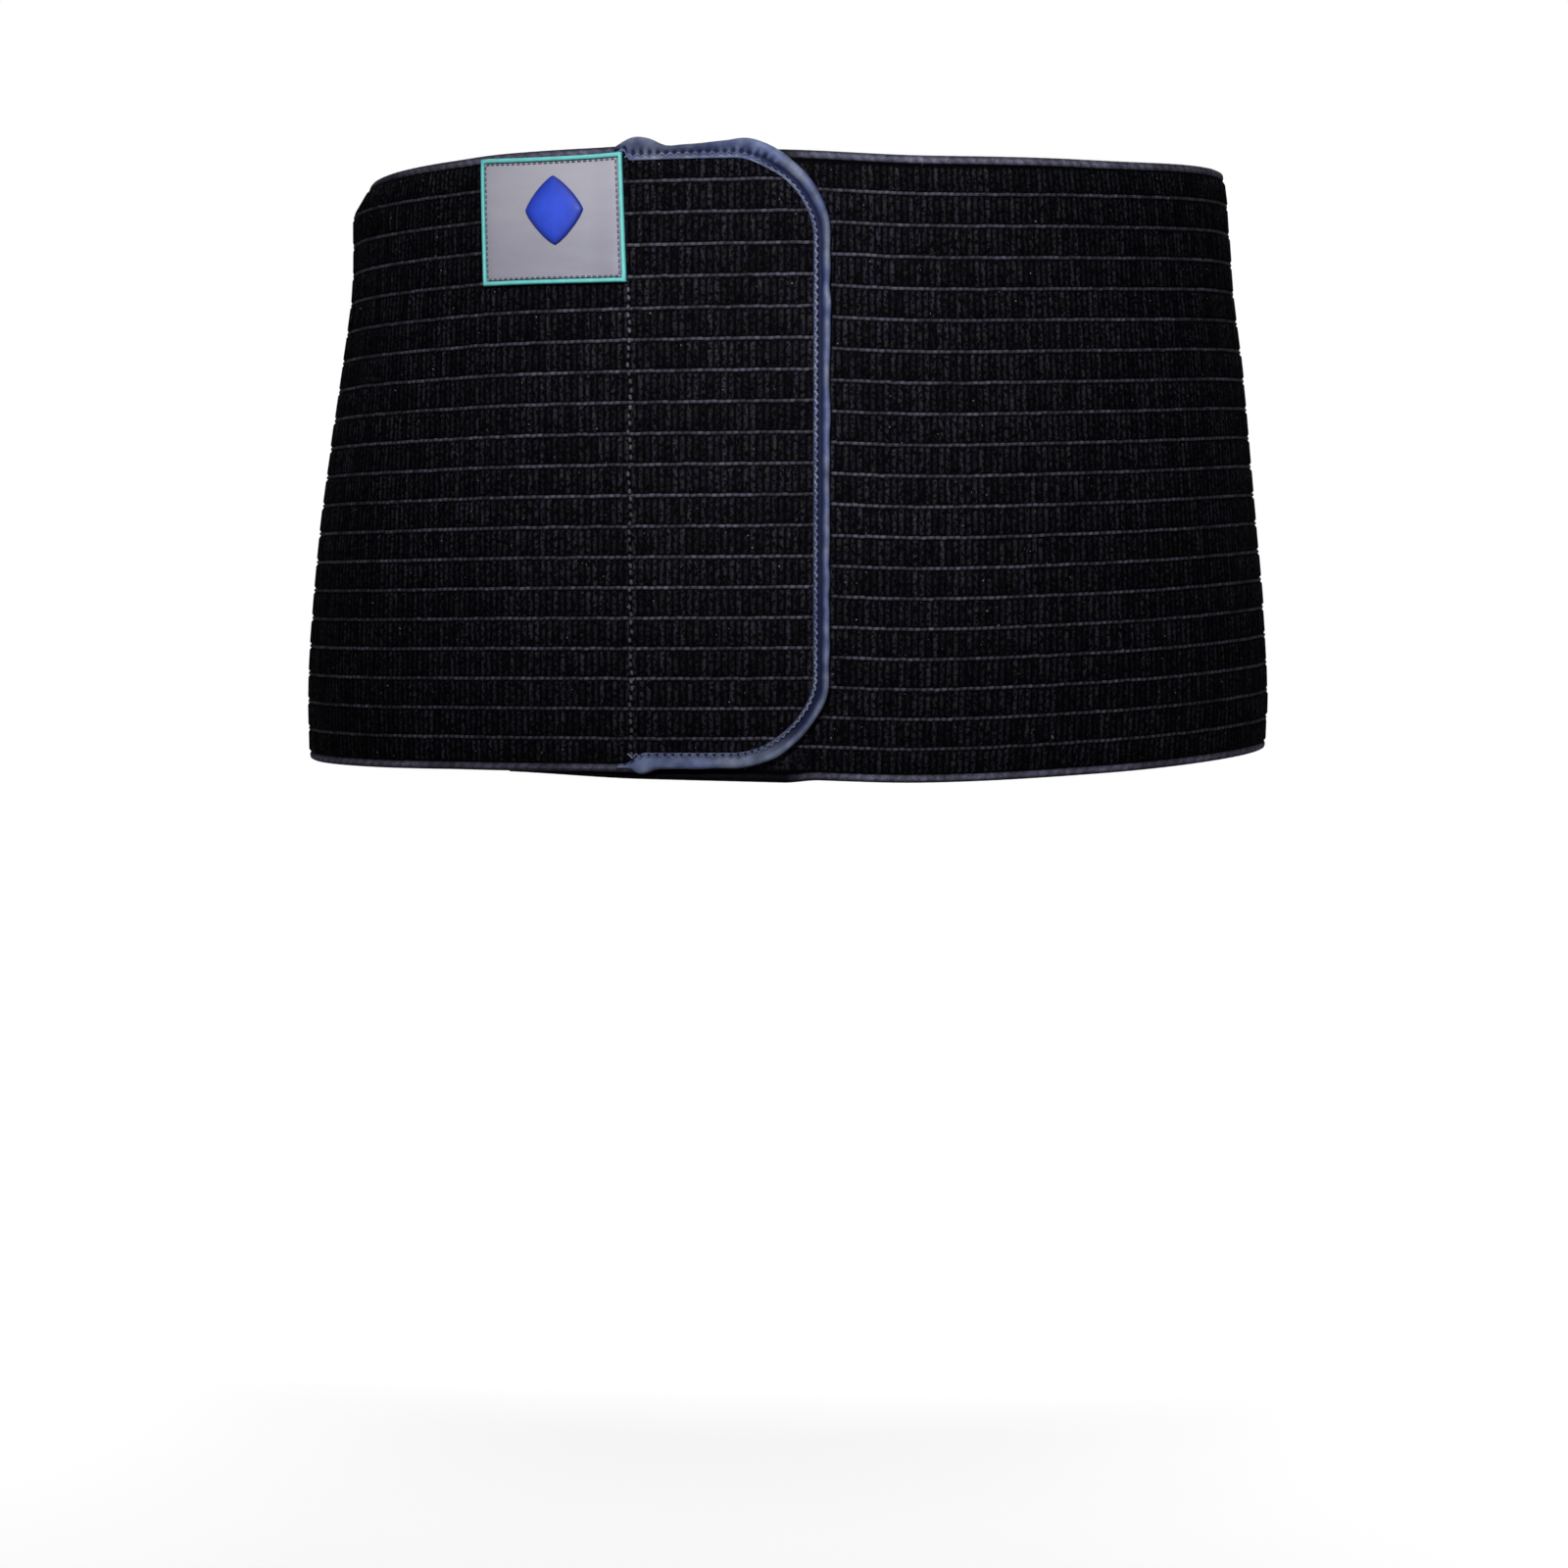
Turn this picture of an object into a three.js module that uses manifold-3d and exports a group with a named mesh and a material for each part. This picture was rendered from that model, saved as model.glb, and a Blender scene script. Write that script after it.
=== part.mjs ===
// A hernia belt as it sits on the hips: one wide elastic wrap closed in a loop, whose free flap
// laps over the other end at the front and holds there by a hook panel. A folded tape binds the
// flap's rounded end, and a stitched rubber label with a raised border sits beside it.
//
// Millimetres, +Z up, -Y to the front, +X to the wearer's left. The origin is the middle of the
// loop, on the wearer's axis at half the belt's height.
//
// Every piece is laid out on the cloth and then wrapped on the body. A place on the cloth has
//   run     along the lap from the front centre, towards +X, the back and the flap
//   height  above the belt's middle
//   out     off the wearer's body

import * as THREE from "three";
import Module from "manifold-3d";
import { mergeVertices } from "three/addons/utils/BufferGeometryUtils.js";

const wasm = await Module();
wasm.setup();

// The wearer's body under the belt
const HIP_WIDTH = 339.4;
const FRONT_DEPTH = 112.6;
const BACK_DEPTH = 124;
const FRONT_ROUNDNESS = 2;
const BACK_ROUNDNESS = 2.3;

// The elastic wrap
const BELT_HEIGHT = 203;
const BAND_COUNT = 20;
const BAND_TAPER = 0.025;
const WALL = 1.6;
const BAND_BULGE = 0.8;
const BAND_SHOULDER = 0.16;
const SELVAGE_HEIGHT = 2.2;
const EDGE_ALLOWANCE = 1.1;
const SELVAGE_BULGE = 0.3;
const INNER_ROWS = 10;
const COLUMN_STEP = 20;
const CLIMB_STEP = 6;
const BODY_GAP = 0.2;
const LAYER_GAP = 0.35;
const WRAP_DRIFT = 4;

// Where the wrap ends, along the lap from the front centre
const UNDER_END = -95;
const FLAP_END = 12;
const STITCH_LINE = -52;
const CLIMB_LENGTH = 26;
const HOOK_CLIMB_LENGTH = 12;
const FLAP_CORNER = 30;
const BOUND_TRIM = 1;
const FLAP_SLACK = { from: 0.72, to: 0.9 };
const CORNER_STEPS = 8;
const CUT_SPARE = 3;

// The tape that binds the flap's end
const TAPE_WIDTH = 6.2;
const TAPE_WALL = 0.8;
const TAPE_GAP = 0.3;
const TAPE_STEP = 9;
const TAPE_FOLD = 1.9;

// The hook panel behind the flap
const HOOK_WALL = 1.1;
const HOOK_MARGIN = 1;
const HOOK_COLUMNS = 7;

// The label
const LABEL_WIDTH = 50.6;
const LABEL_HEIGHT = 42;
const LABEL_BORDER = 1.9;
const LABEL_WALL = 1.3;
const LABEL_RIM = 0.5;
const LABEL_GAP = 0.3;
const LABEL_DROP = 1.5;
const LABEL_LEAN = THREE.MathUtils.degToRad(2);
const LABEL_SLOPE = THREE.MathUtils.degToRad(-0.8);
const LABEL_STEP = 8;
const EMBLEM_WIDTH = 20;
const EMBLEM_HEIGHT = 23;
const EMBLEM_WALL = 1.4;
const EMBLEM_SHIFT = 1.6;
const EMBLEM_LIFT = 3.2;
const EMBLEM_CORNER = 0.22;

// The body's outline by height: shares of the belt's height and of the three sizes above.
const BODY_SECTIONS = [
  { height: 0.0, width: 0.998, front: 0.985, back: 0.99 },
  { height: 0.12, width: 1.0, front: 0.997, back: 1.0 },
  { height: 0.25, width: 0.99, front: 1.0, back: 0.998 },
  { height: 0.4, width: 0.972, front: 0.997, back: 0.98 },
  { height: 0.55, width: 0.949, front: 0.99, back: 0.95 },
  { height: 0.7, width: 0.924, front: 0.98, back: 0.91 },
  { height: 0.8, width: 0.906, front: 0.972, back: 0.885 },
  { height: 0.9, width: 0.895, front: 0.964, back: 0.865 },
  { height: 0.96, width: 0.884, front: 0.956, back: 0.852 },
  { height: 1.0, width: 0.872, front: 0.948, back: 0.842 },
];

// How far the wrap rides up as it goes round: shares of one lap and of WRAP_DRIFT.
const WRAP_LIFT = [
  { lap: -0.12, lift: 0.05 },
  { lap: -0.05, lift: -0.05 },
  { lap: 0.0, lift: -0.25 },
  { lap: 0.05, lift: -0.6 },
  { lap: 0.12, lift: -0.25 },
  { lap: 0.22, lift: 0.4 },
  { lap: 0.5, lift: -0.1 },
  { lap: 0.75, lift: -0.6 },
  { lap: 0.82, lift: -0.3 },
  { lap: 0.9, lift: 0.2 },
  { lap: 1.0, lift: 0.45 },
  { lap: 1.05, lift: 0.55 },
];

// Where the binding tape puffs past the cloth's edge: shares of its own length and of TAPE_FOLD.
const TAPE_PUFFS = [
  { along: 0.0, puff: 0.3 },
  { along: 0.025, puff: 1.0 },
  { along: 0.055, puff: 0.0 },
  { along: 0.08, puff: 0.1 },
  { along: 0.13, puff: 0.6 },
  { along: 0.18, puff: 0.45 },
  { along: 0.26, puff: 0.0 },
  { along: 0.9, puff: 0.0 },
  { along: 0.97, puff: 0.4 },
  { along: 1.0, puff: 0.1 },
];

const MATERIALS = {
  elastic: new THREE.MeshStandardMaterial({ color: 0x0c0c0f, roughness: 0.9, metalness: 0 }),
  tape: new THREE.MeshStandardMaterial({ color: 0x323b60, roughness: 0.55, metalness: 0 }),
  hook: new THREE.MeshStandardMaterial({ color: 0x101013, roughness: 0.7, metalness: 0 }),
  grey: new THREE.MeshStandardMaterial({ color: 0x9c9aa8, roughness: 0.55, metalness: 0 }),
  teal: new THREE.MeshStandardMaterial({ color: 0x5fbfba, roughness: 0.5, metalness: 0 }),
  blue: new THREE.MeshStandardMaterial({ color: 0x2a4bcc, roughness: 0.4, metalness: 0 }),
};

// A value from a table of named columns, on a smooth curve through its rows.
function fromTable(table, key, column, at) {
  const last = table.length - 1;
  if (at <= table[0][key]) return table[0][column];
  if (at >= table[last][key]) return table[last][column];
  const i = table.findIndex((row) => row[key] > at) - 1;
  const slope = (a, b) => (table[b][column] - table[a][column]) / (table[b][key] - table[a][key]);
  const tangent = (k) => slope(Math.max(k - 1, 0), Math.min(k + 1, last));
  const span = table[i + 1][key] - table[i][key];
  const t = (at - table[i][key]) / span;
  return (
    (2 * t ** 3 - 3 * t ** 2 + 1) * table[i][column] +
    (t ** 3 - 2 * t ** 2 + t) * span * tangent(i) +
    (3 * t ** 2 - 2 * t ** 3) * table[i + 1][column] +
    (t ** 3 - t ** 2) * span * tangent(i + 1)
  );
}

// The body's surface at a bearing round the wearer, 0 at the front and growing towards +X:
// the point and the level direction that leads straight off it.
function bodyPoint(bearing, z) {
  const share = THREE.MathUtils.clamp(z / BELT_HEIGHT + 0.5, 0, 1);
  const halfWidth = (fromTable(BODY_SECTIONS, "height", "width", share) * HIP_WIDTH) / 2;
  const inFront = Math.cos(bearing) > 0;
  const depth = inFront
    ? fromTable(BODY_SECTIONS, "height", "front", share) * FRONT_DEPTH
    : fromTable(BODY_SECTIONS, "height", "back", share) * BACK_DEPTH;
  const roundness = inFront ? FRONT_ROUNDNESS : BACK_ROUNDNESS;
  const across = Math.abs(Math.sin(bearing)) / halfWidth;
  const along = Math.abs(Math.cos(bearing)) / depth;
  const radius = (across ** roundness + along ** roundness) ** (-1 / roundness);
  const x = radius * Math.sin(bearing);
  const y = -radius * Math.cos(bearing);
  const normal = new THREE.Vector2(
    (Math.sign(x) * Math.abs(x / halfWidth) ** (roundness - 1)) / halfWidth,
    (Math.sign(y) * Math.abs(y / depth) ** (roundness - 1)) / depth,
  ).normalize();
  return { x, y, normal };
}

// How much further out the body's surface is at mid height than at this one.
function girthRatio(bearing, z) {
  const middle = bodyPoint(bearing, 0);
  const here = bodyPoint(bearing, z);
  return Math.hypot(middle.x, middle.y) / Math.hypot(here.x, here.y);
}

// The length of one lap at mid height, and the bearing at each run along it.
const LAP_STEPS = 720;
const lapRuns = [0];
for (let i = 1; i <= LAP_STEPS; i++) {
  const a = bodyPoint(((i - 1) / LAP_STEPS) * 2 * Math.PI, 0);
  const b = bodyPoint((i / LAP_STEPS) * 2 * Math.PI, 0);
  lapRuns.push(lapRuns[i - 1] + Math.hypot(b.x - a.x, b.y - a.y));
}
const LAP = lapRuns[LAP_STEPS];

function bearingAt(run) {
  const onLap = THREE.MathUtils.euclideanModulo(run, LAP);
  const i = Math.max(lapRuns.findIndex((r) => r > onLap), 1);
  const share = (onLap - lapRuns[i - 1]) / (lapRuns[i] - lapRuns[i - 1]);
  return ((i - 1 + share) / LAP_STEPS) * 2 * Math.PI;
}

// A place on the cloth, wrapped on the body. The worn cloth stretches with the body's girth, but
// the flap keeps its upright threads parallel.
function place(run, height, out) {
  const z = height + fromTable(WRAP_LIFT, "lap", "lift", run / LAP) * WRAP_DRIFT;
  const slack = THREE.MathUtils.smoothstep(run / LAP, FLAP_SLACK.from, FLAP_SLACK.to);
  const fromFront = (run - LAP) * (1 + slack * (girthRatio(bearingAt(run), z) - 1));
  const { x, y, normal } = bodyPoint(bearingAt(LAP + fromFront), z);
  return new THREE.Vector3(x + normal.x * out, y + normal.y * out, z);
}

// The flap's own marks lie one lap on from the front centre.
const flapEnd = LAP + FLAP_END;
const stitchLine = LAP + STITCH_LINE;
const overUnderEnd = LAP + UNDER_END;
const halfHeight = BELT_HEIGHT / 2;
const boundHalf = halfHeight - BOUND_TRIM;
const crest = WALL + BAND_BULGE;

// How far the cloth's inner face stands off the body: it climbs over the hidden end, then over
// the hook panel.
function standoffAt(run) {
  const overEnd = THREE.MathUtils.smoothstep(run, overUnderEnd - CLIMB_LENGTH, overUnderEnd);
  const overHooks = THREE.MathUtils.smoothstep(run, stitchLine - HOOK_CLIMB_LENGTH, stitchLine);
  return (
    BODY_GAP + overEnd * (crest + LAYER_GAP) + overHooks * (HOOK_WALL + LAYER_GAP)
  );
}

// Faces out, and with each shared corner stored once.
function closedGeometry(points, triangles) {
  const positions = new Float32Array(points.flatMap((p) => [p.x, p.y, p.z]));
  const geometry = new THREE.BufferGeometry();
  geometry.setAttribute("position", new THREE.BufferAttribute(positions, 3));
  let sixVolumes = 0;
  for (const [a, b, c] of triangles) {
    sixVolumes += points[a].dot(new THREE.Vector3().crossVectors(points[b], points[c]));
  }
  const facingOut = sixVolumes > 0 ? triangles : triangles.map(([a, b, c]) => [a, c, b]);
  geometry.setIndex(facingOut.flat());
  return geometry;
}

// The faces that close a ring of points, turned the way the ring runs.
function endFaces(ring) {
  const normal = new THREE.Vector3();
  ring.forEach((p, j) => normal.add(new THREE.Vector3().crossVectors(p, ring[(j + 1) % ring.length])));
  const across = new THREE.Vector3().subVectors(ring[1], ring[0]).normalize();
  const up = new THREE.Vector3().crossVectors(normal.normalize(), across).normalize();
  const flat = ring.map((p) => new THREE.Vector2(p.dot(across), p.dot(up)));
  const turn = Math.sign(THREE.ShapeUtils.area(flat));
  return THREE.ShapeUtils.triangulateShape(flat, []).map((face) => {
    const along = Math.sign(THREE.ShapeUtils.area(face.map((v) => flat[v]))) === turn;
    return along ? face : face.toReversed();
  });
}

// A solid through a row of rings that have as many points each: closed at both ends, or joined
// into a loop.
function loft(rings, looped = false) {
  const size = rings[0].length;
  const triangles = [];
  const joins = looped ? rings.length : rings.length - 1;
  for (let i = 0; i < joins; i++) {
    const here = i * size;
    const next = ((i + 1) % rings.length) * size;
    for (let j = 0; j < size; j++) {
      const k = (j + 1) % size;
      triangles.push([here + j, next + j, next + k], [here + j, next + k, here + k]);
    }
  }
  if (!looped) {
    const end = (rings.length - 1) * size;
    for (const face of endFaces(rings[0])) triangles.push(face);
    for (const [a, b, c] of endFaces(rings.at(-1))) triangles.push([end + a, end + c, end + b]);
  }
  return closedGeometry(rings.flat(), triangles);
}

function mesh(name, geometry, material) {
  const made = new THREE.Mesh(geometry, material);
  made.name = name;
  return made;
}

function toManifold(geometry) {
  const bare = new THREE.BufferGeometry();
  bare.setAttribute("position", geometry.getAttribute("position"));
  bare.setIndex(geometry.getIndex());
  const merged = mergeVertices(bare);
  return new wasm.Manifold(
    new wasm.Mesh({
      numProp: 3,
      vertProperties: merged.getAttribute("position").array,
      triVerts: new Uint32Array(merged.getIndex().array),
    }),
  );
}

function fromManifold(solid) {
  const { vertProperties, triVerts } = solid.getMesh();
  const geometry = new THREE.BufferGeometry();
  geometry.setAttribute("position", new THREE.BufferAttribute(vertProperties, 3));
  geometry.setIndex(new THREE.BufferAttribute(triVerts, 1));
  return geometry;
}

// The height of the groove below band k, counted from the bottom: the bands grow a little taller
// towards the waist, and the selvages take the place of the outermost grooves.
function grooveHeight(k) {
  if (k === 0) return SELVAGE_HEIGHT - halfHeight;
  if (k === BAND_COUNT) return halfHeight - SELVAGE_HEIGHT;
  const pitch = (BELT_HEIGHT - 2 * EDGE_ALLOWANCE) / BAND_COUNT;
  const bands = k * (1 - BAND_TAPER) + (BAND_TAPER * k * (k - 1)) / (BAND_COUNT - 1);
  return EDGE_ALLOWANCE - halfHeight + bands * pitch;
}

// The wall's section as [out, height]: puffed bands between grooves outside, plain inside.
function wallSection() {
  const section = [[WALL / 2, -halfHeight]];
  section.push([WALL + SELVAGE_BULGE, SELVAGE_HEIGHT / 2 - halfHeight]);
  for (let k = 0; k < BAND_COUNT; k++) {
    const low = grooveHeight(k);
    const band = grooveHeight(k + 1) - low;
    section.push([WALL, low]);
    section.push([crest, low + band * BAND_SHOULDER]);
    section.push([crest, low + band * (1 - BAND_SHOULDER)]);
  }
  section.push([WALL, grooveHeight(BAND_COUNT)]);
  section.push([WALL + SELVAGE_BULGE, halfHeight - SELVAGE_HEIGHT / 2]);
  section.push([WALL / 2, halfHeight]);
  for (let i = 0; i <= INNER_ROWS; i++) {
    const share = 1 - (2 * i) / INNER_ROWS;
    section.push([0, share * (halfHeight - SELVAGE_HEIGHT / 4)]);
  }
  return section;
}

// What trims one side of the flap's end to its bound outline: a band that follows the edge on its
// outer side, clear of the hidden end. side is 1 at the top and -1 at the bottom.
function edgeCutter(side) {
  const edge = flapEdge().filter(({ height }) => height * side > boundHalf - FLAP_CORNER - 1e-6);
  const start = side > 0 ? edge[0] : edge.at(-1);
  const before = { ...start, run: start.run - TAPE_GAP * 2 };
  const path = side > 0 ? [before, ...edge] : [...edge, before];
  const spare = FLAP_CORNER / 2;
  const outline = [0, spare].flatMap((past) => {
    const shifted = path.map(({ run, height, inward }) => [
      run - inward[0] * past,
      height - inward[1] * past,
    ]);
    return past ? shifted.reverse() : shifted;
  });
  const rings = [-LAYER_GAP - HOOK_WALL / 2, crest + CUT_SPARE].map((out) =>
    outline.map(([run, height]) => place(run, height, standoffAt(run) + out)),
  );
  return toManifold(loft(rings));
}

// The runs of the wrap's columns: closer where the cloth climbs and where the flap is bound.
function wrapColumns() {
  const stretches = [
    { from: UNDER_END, step: COLUMN_STEP },
    { from: overUnderEnd - CLIMB_LENGTH, step: CLIMB_STEP },
    { from: overUnderEnd, step: TAPE_STEP },
    { from: stitchLine - HOOK_CLIMB_LENGTH, step: CLIMB_STEP },
    { from: stitchLine, step: TAPE_STEP },
    { from: flapEnd },
  ];
  const columns = [];
  for (let k = 0; k < stretches.length - 1; k++) {
    const { from, step } = stretches[k];
    const length = stretches[k + 1].from - from;
    const count = Math.ceil(length / step);
    for (let i = 0; i < count; i++) columns.push(from + (length * i) / count);
  }
  return [...columns, flapEnd];
}

function elasticWrap() {
  const section = wallSection();
  const rings = wrapColumns().map((run) =>
    section.map(([out, height]) => place(run, height, standoffAt(run) + out)),
  );
  let solid = toManifold(loft(rings));
  for (const side of [1, -1]) solid = solid.subtract(edgeCutter(side));
  return mesh("elastic_wrap", fromManifold(solid), MATERIALS.elastic);
}

// The flap's edge from the stitch line round both corners and back to it: each step has a place
// on the cloth and the direction that leads into the cloth.
function flapEdge() {
  const top = boundHalf;
  const cornerRun = flapEnd - FLAP_CORNER;
  const cornerHeight = top - FLAP_CORNER;
  const steps = [];
  const straight = (from, to, inward) => {
    const length = Math.hypot(to[0] - from[0], to[1] - from[1]);
    const count = Math.ceil(length / TAPE_STEP);
    for (let i = 0; i < count; i++) {
      const share = i / count;
      steps.push({
        run: from[0] + (to[0] - from[0]) * share,
        height: from[1] + (to[1] - from[1]) * share,
        inward,
      });
    }
  };
  const corner = (side, from, to) => {
    for (let i = 0; i < CORNER_STEPS; i++) {
      const angle = THREE.MathUtils.lerp(from, to, i / CORNER_STEPS);
      const [across, up] = [Math.cos(angle), Math.sin(angle)];
      steps.push({
        run: cornerRun + FLAP_CORNER * across,
        height: side * cornerHeight + FLAP_CORNER * up,
        inward: [-across, -up],
      });
    }
  };
  straight([stitchLine, top], [cornerRun, top], [0, -1]);
  corner(1, Math.PI / 2, 0);
  straight([flapEnd, cornerHeight], [flapEnd, -cornerHeight], [-1, 0]);
  corner(-1, 0, -Math.PI / 2);
  straight([cornerRun, -top], [stitchLine, -top], [0, 1]);
  steps.push({ run: stitchLine, height: -top, inward: [0, 1] });
  return steps;
}

// The tape's section as [in from the edge, out from the cloth's inner face]: a folded strip that
// holds the edge between its two leaves.
const TAPE_SECTION = [
  [TAPE_WIDTH, crest + TAPE_GAP],
  [TAPE_WIDTH, crest + TAPE_GAP + TAPE_WALL * 0.7],
  [TAPE_WIDTH * 0.5, crest + TAPE_GAP + TAPE_WALL * 1.15],
  [0, crest + TAPE_GAP + TAPE_WALL * 0.8],
  [-TAPE_GAP - TAPE_WALL * 0.9, crest * 0.75],
  [-TAPE_GAP - TAPE_WALL * 0.9, crest * 0.25],
  [0, -TAPE_GAP - TAPE_WALL * 0.7],
  [TAPE_WIDTH, -TAPE_GAP - TAPE_WALL * 0.7],
  [TAPE_WIDTH, -TAPE_GAP],
  [-TAPE_GAP, -TAPE_GAP],
  [-TAPE_GAP, crest + TAPE_GAP],
];

function edgeBinding() {
  const edge = flapEdge();
  const rings = edge.map(({ run, height, inward }, i) => {
    const puff = fromTable(TAPE_PUFFS, "along", "puff", i / (edge.length - 1)) * TAPE_FOLD;
    const standoff = standoffAt(run);
    return TAPE_SECTION.map(([into, out]) => {
      const shifted = into < TAPE_WIDTH / 2 ? into - puff : into;
      return place(run + inward[0] * shifted, height + inward[1] * shifted, standoff + out);
    });
  });
  return mesh("edge_binding", loft(rings), MATERIALS.tape);
}

// A plain strip of hook tape behind the flap, inside the binding, with the flap's own corners.
function hookPanel() {
  const inset = TAPE_WIDTH + HOOK_MARGIN;
  const from = stitchLine + HOOK_MARGIN;
  const to = flapEnd - inset;
  const corner = Math.max(FLAP_CORNER - inset, 0);
  const rows = 12;
  const contour = [];
  for (let i = 0; i <= rows; i++) contour.push([0, (2 * i) / rows - 1]);
  for (let i = rows; i >= 0; i--) contour.push([1, (2 * i) / rows - 1]);
  const rings = [];
  for (let i = 0; i <= HOOK_COLUMNS; i++) {
    const run = THREE.MathUtils.lerp(from, to, Math.sin(((i / HOOK_COLUMNS) * Math.PI) / 2));
    const past = Math.max(run - (to - corner), 0);
    const reach = boundHalf - inset - corner + Math.sqrt(Math.max(corner ** 2 - past ** 2, 0));
    const outer = standoffAt(run) - LAYER_GAP / 2;
    rings.push(contour.map(([out, height]) => place(run, height * reach, outer - out * HOOK_WALL)));
  }
  return mesh("hook_panel", loft(rings), MATERIALS.hook);
}

// A place on the label, from its centre, pulled askew with it. out counts from the crest of the
// bands.
const labelRun = stitchLine - LABEL_WIDTH / 2;
const labelHeight = halfHeight - LABEL_DROP - LABEL_HEIGHT / 2;
function placeOnLabel(across, up, out) {
  const run = labelRun + across * Math.cos(LABEL_SLOPE) - up * Math.sin(LABEL_LEAN);
  const height = labelHeight + across * Math.sin(LABEL_SLOPE) + up * Math.cos(LABEL_LEAN);
  return place(run, height, standoffAt(run) + crest + LAYER_GAP + out);
}

function labelPlate() {
  const halfWidth = LABEL_WIDTH / 2 - LABEL_BORDER - LABEL_GAP;
  const halfTall = LABEL_HEIGHT / 2 - LABEL_BORDER - LABEL_GAP;
  const rows = Math.ceil((2 * halfTall) / LABEL_STEP);
  const columns = Math.ceil((2 * halfWidth) / LABEL_STEP);
  const contour = [];
  for (let i = 0; i <= rows; i++) contour.push([0, halfTall * ((2 * i) / rows - 1)]);
  for (let i = rows; i >= 0; i--) contour.push([LABEL_WALL, halfTall * ((2 * i) / rows - 1)]);
  const rings = [];
  for (let i = 0; i <= columns; i++) {
    const across = halfWidth * ((2 * i) / columns - 1);
    rings.push(contour.map(([out, up]) => placeOnLabel(across, up, out)));
  }
  return mesh("label_plate", loft(rings), MATERIALS.grey);
}

// The label's border: a raised frame with mitred corners round the plate.
function labelBorder() {
  const outer = [LABEL_WIDTH / 2, LABEL_HEIGHT / 2];
  const inner = outer.map((size) => size - LABEL_BORDER);
  const rim = LABEL_WALL + LABEL_RIM;
  const corners = [[-1, -1], [1, -1], [1, 1], [-1, 1]];
  const rings = [];
  corners.forEach((from, i) => {
    const to = corners[(i + 1) % corners.length];
    const side = to[0] === from[0] ? LABEL_HEIGHT : LABEL_WIDTH;
    const count = Math.ceil(side / LABEL_STEP);
    for (let j = 0; j < count; j++) {
      const across = THREE.MathUtils.lerp(from[0], to[0], j / count);
      const up = THREE.MathUtils.lerp(from[1], to[1], j / count);
      rings.push([
        placeOnLabel(across * outer[0], up * outer[1], 0),
        placeOnLabel(across * outer[0], up * outer[1], rim),
        placeOnLabel(across * inner[0], up * inner[1], rim),
        placeOnLabel(across * inner[0], up * inner[1], 0),
      ]);
    }
  });
  return mesh("label_border", loft(rings, true), MATERIALS.teal);
}

// A plain raised lozenge with soft corners and a domed face.
function labelEmblem() {
  const softness = EMBLEM_CORNER * Math.min(EMBLEM_WIDTH, EMBLEM_HEIGHT);
  const outline = new THREE.Shape();
  const tips = [
    [EMBLEM_WIDTH / 2, 0],
    [0, EMBLEM_HEIGHT / 2],
    [-EMBLEM_WIDTH / 2, 0],
    [0, -EMBLEM_HEIGHT / 2],
  ];
  const side = Math.hypot(EMBLEM_WIDTH / 2, EMBLEM_HEIGHT / 2);
  const short = softness / side;
  tips.forEach(([x, y], i) => {
    const before = tips[(i + 3) % 4];
    const after = tips[(i + 1) % 4];
    const start = [x + (before[0] - x) * short, y + (before[1] - y) * short];
    const end = [x + (after[0] - x) * short, y + (after[1] - y) * short];
    if (i === 0) outline.moveTo(...start);
    else outline.lineTo(...start);
    outline.quadraticCurveTo(x, y, ...end);
  });
  const contour = outline.getPoints(4).map((p) => [p.x, p.y]);
  const [first, last] = [contour[0], contour[contour.length - 1]];
  if (Math.hypot(first[0] - last[0], first[1] - last[1]) < 1e-6) contour.pop();
  const layers = [
    { out: 0, size: 1 },
    { out: 0.45, size: 1 },
    { out: 0.85, size: 0.82 },
    { out: 1, size: 0.5 },
  ];
  const base = LABEL_WALL + LABEL_GAP;
  const rings = layers.map(({ out, size }) =>
    contour.map(([x, y]) =>
      placeOnLabel(EMBLEM_SHIFT + x * size, EMBLEM_LIFT + y * size, base + out * EMBLEM_WALL),
    ),
  );
  return mesh("label_emblem", loft(rings), MATERIALS.blue);
}

const herniaBelt = new THREE.Group();
herniaBelt.add(
  elasticWrap(),
  edgeBinding(),
  hookPanel(),
  labelPlate(),
  labelBorder(),
  labelEmblem(),
);

export default herniaBelt;
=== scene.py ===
"""A hernia belt on its wearer: black ribbed elastic between grey threads, a flap bound in blue tape over
the front, and a stitched label.

Lengths are millimetres on the cloth, and metres once a mesh is made. A place on the cloth has
  run     along the lap from the front centre, towards +X, the back and the flap
  height  above the belt's middle
  out     off the wearer's body
"""
import math

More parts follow.
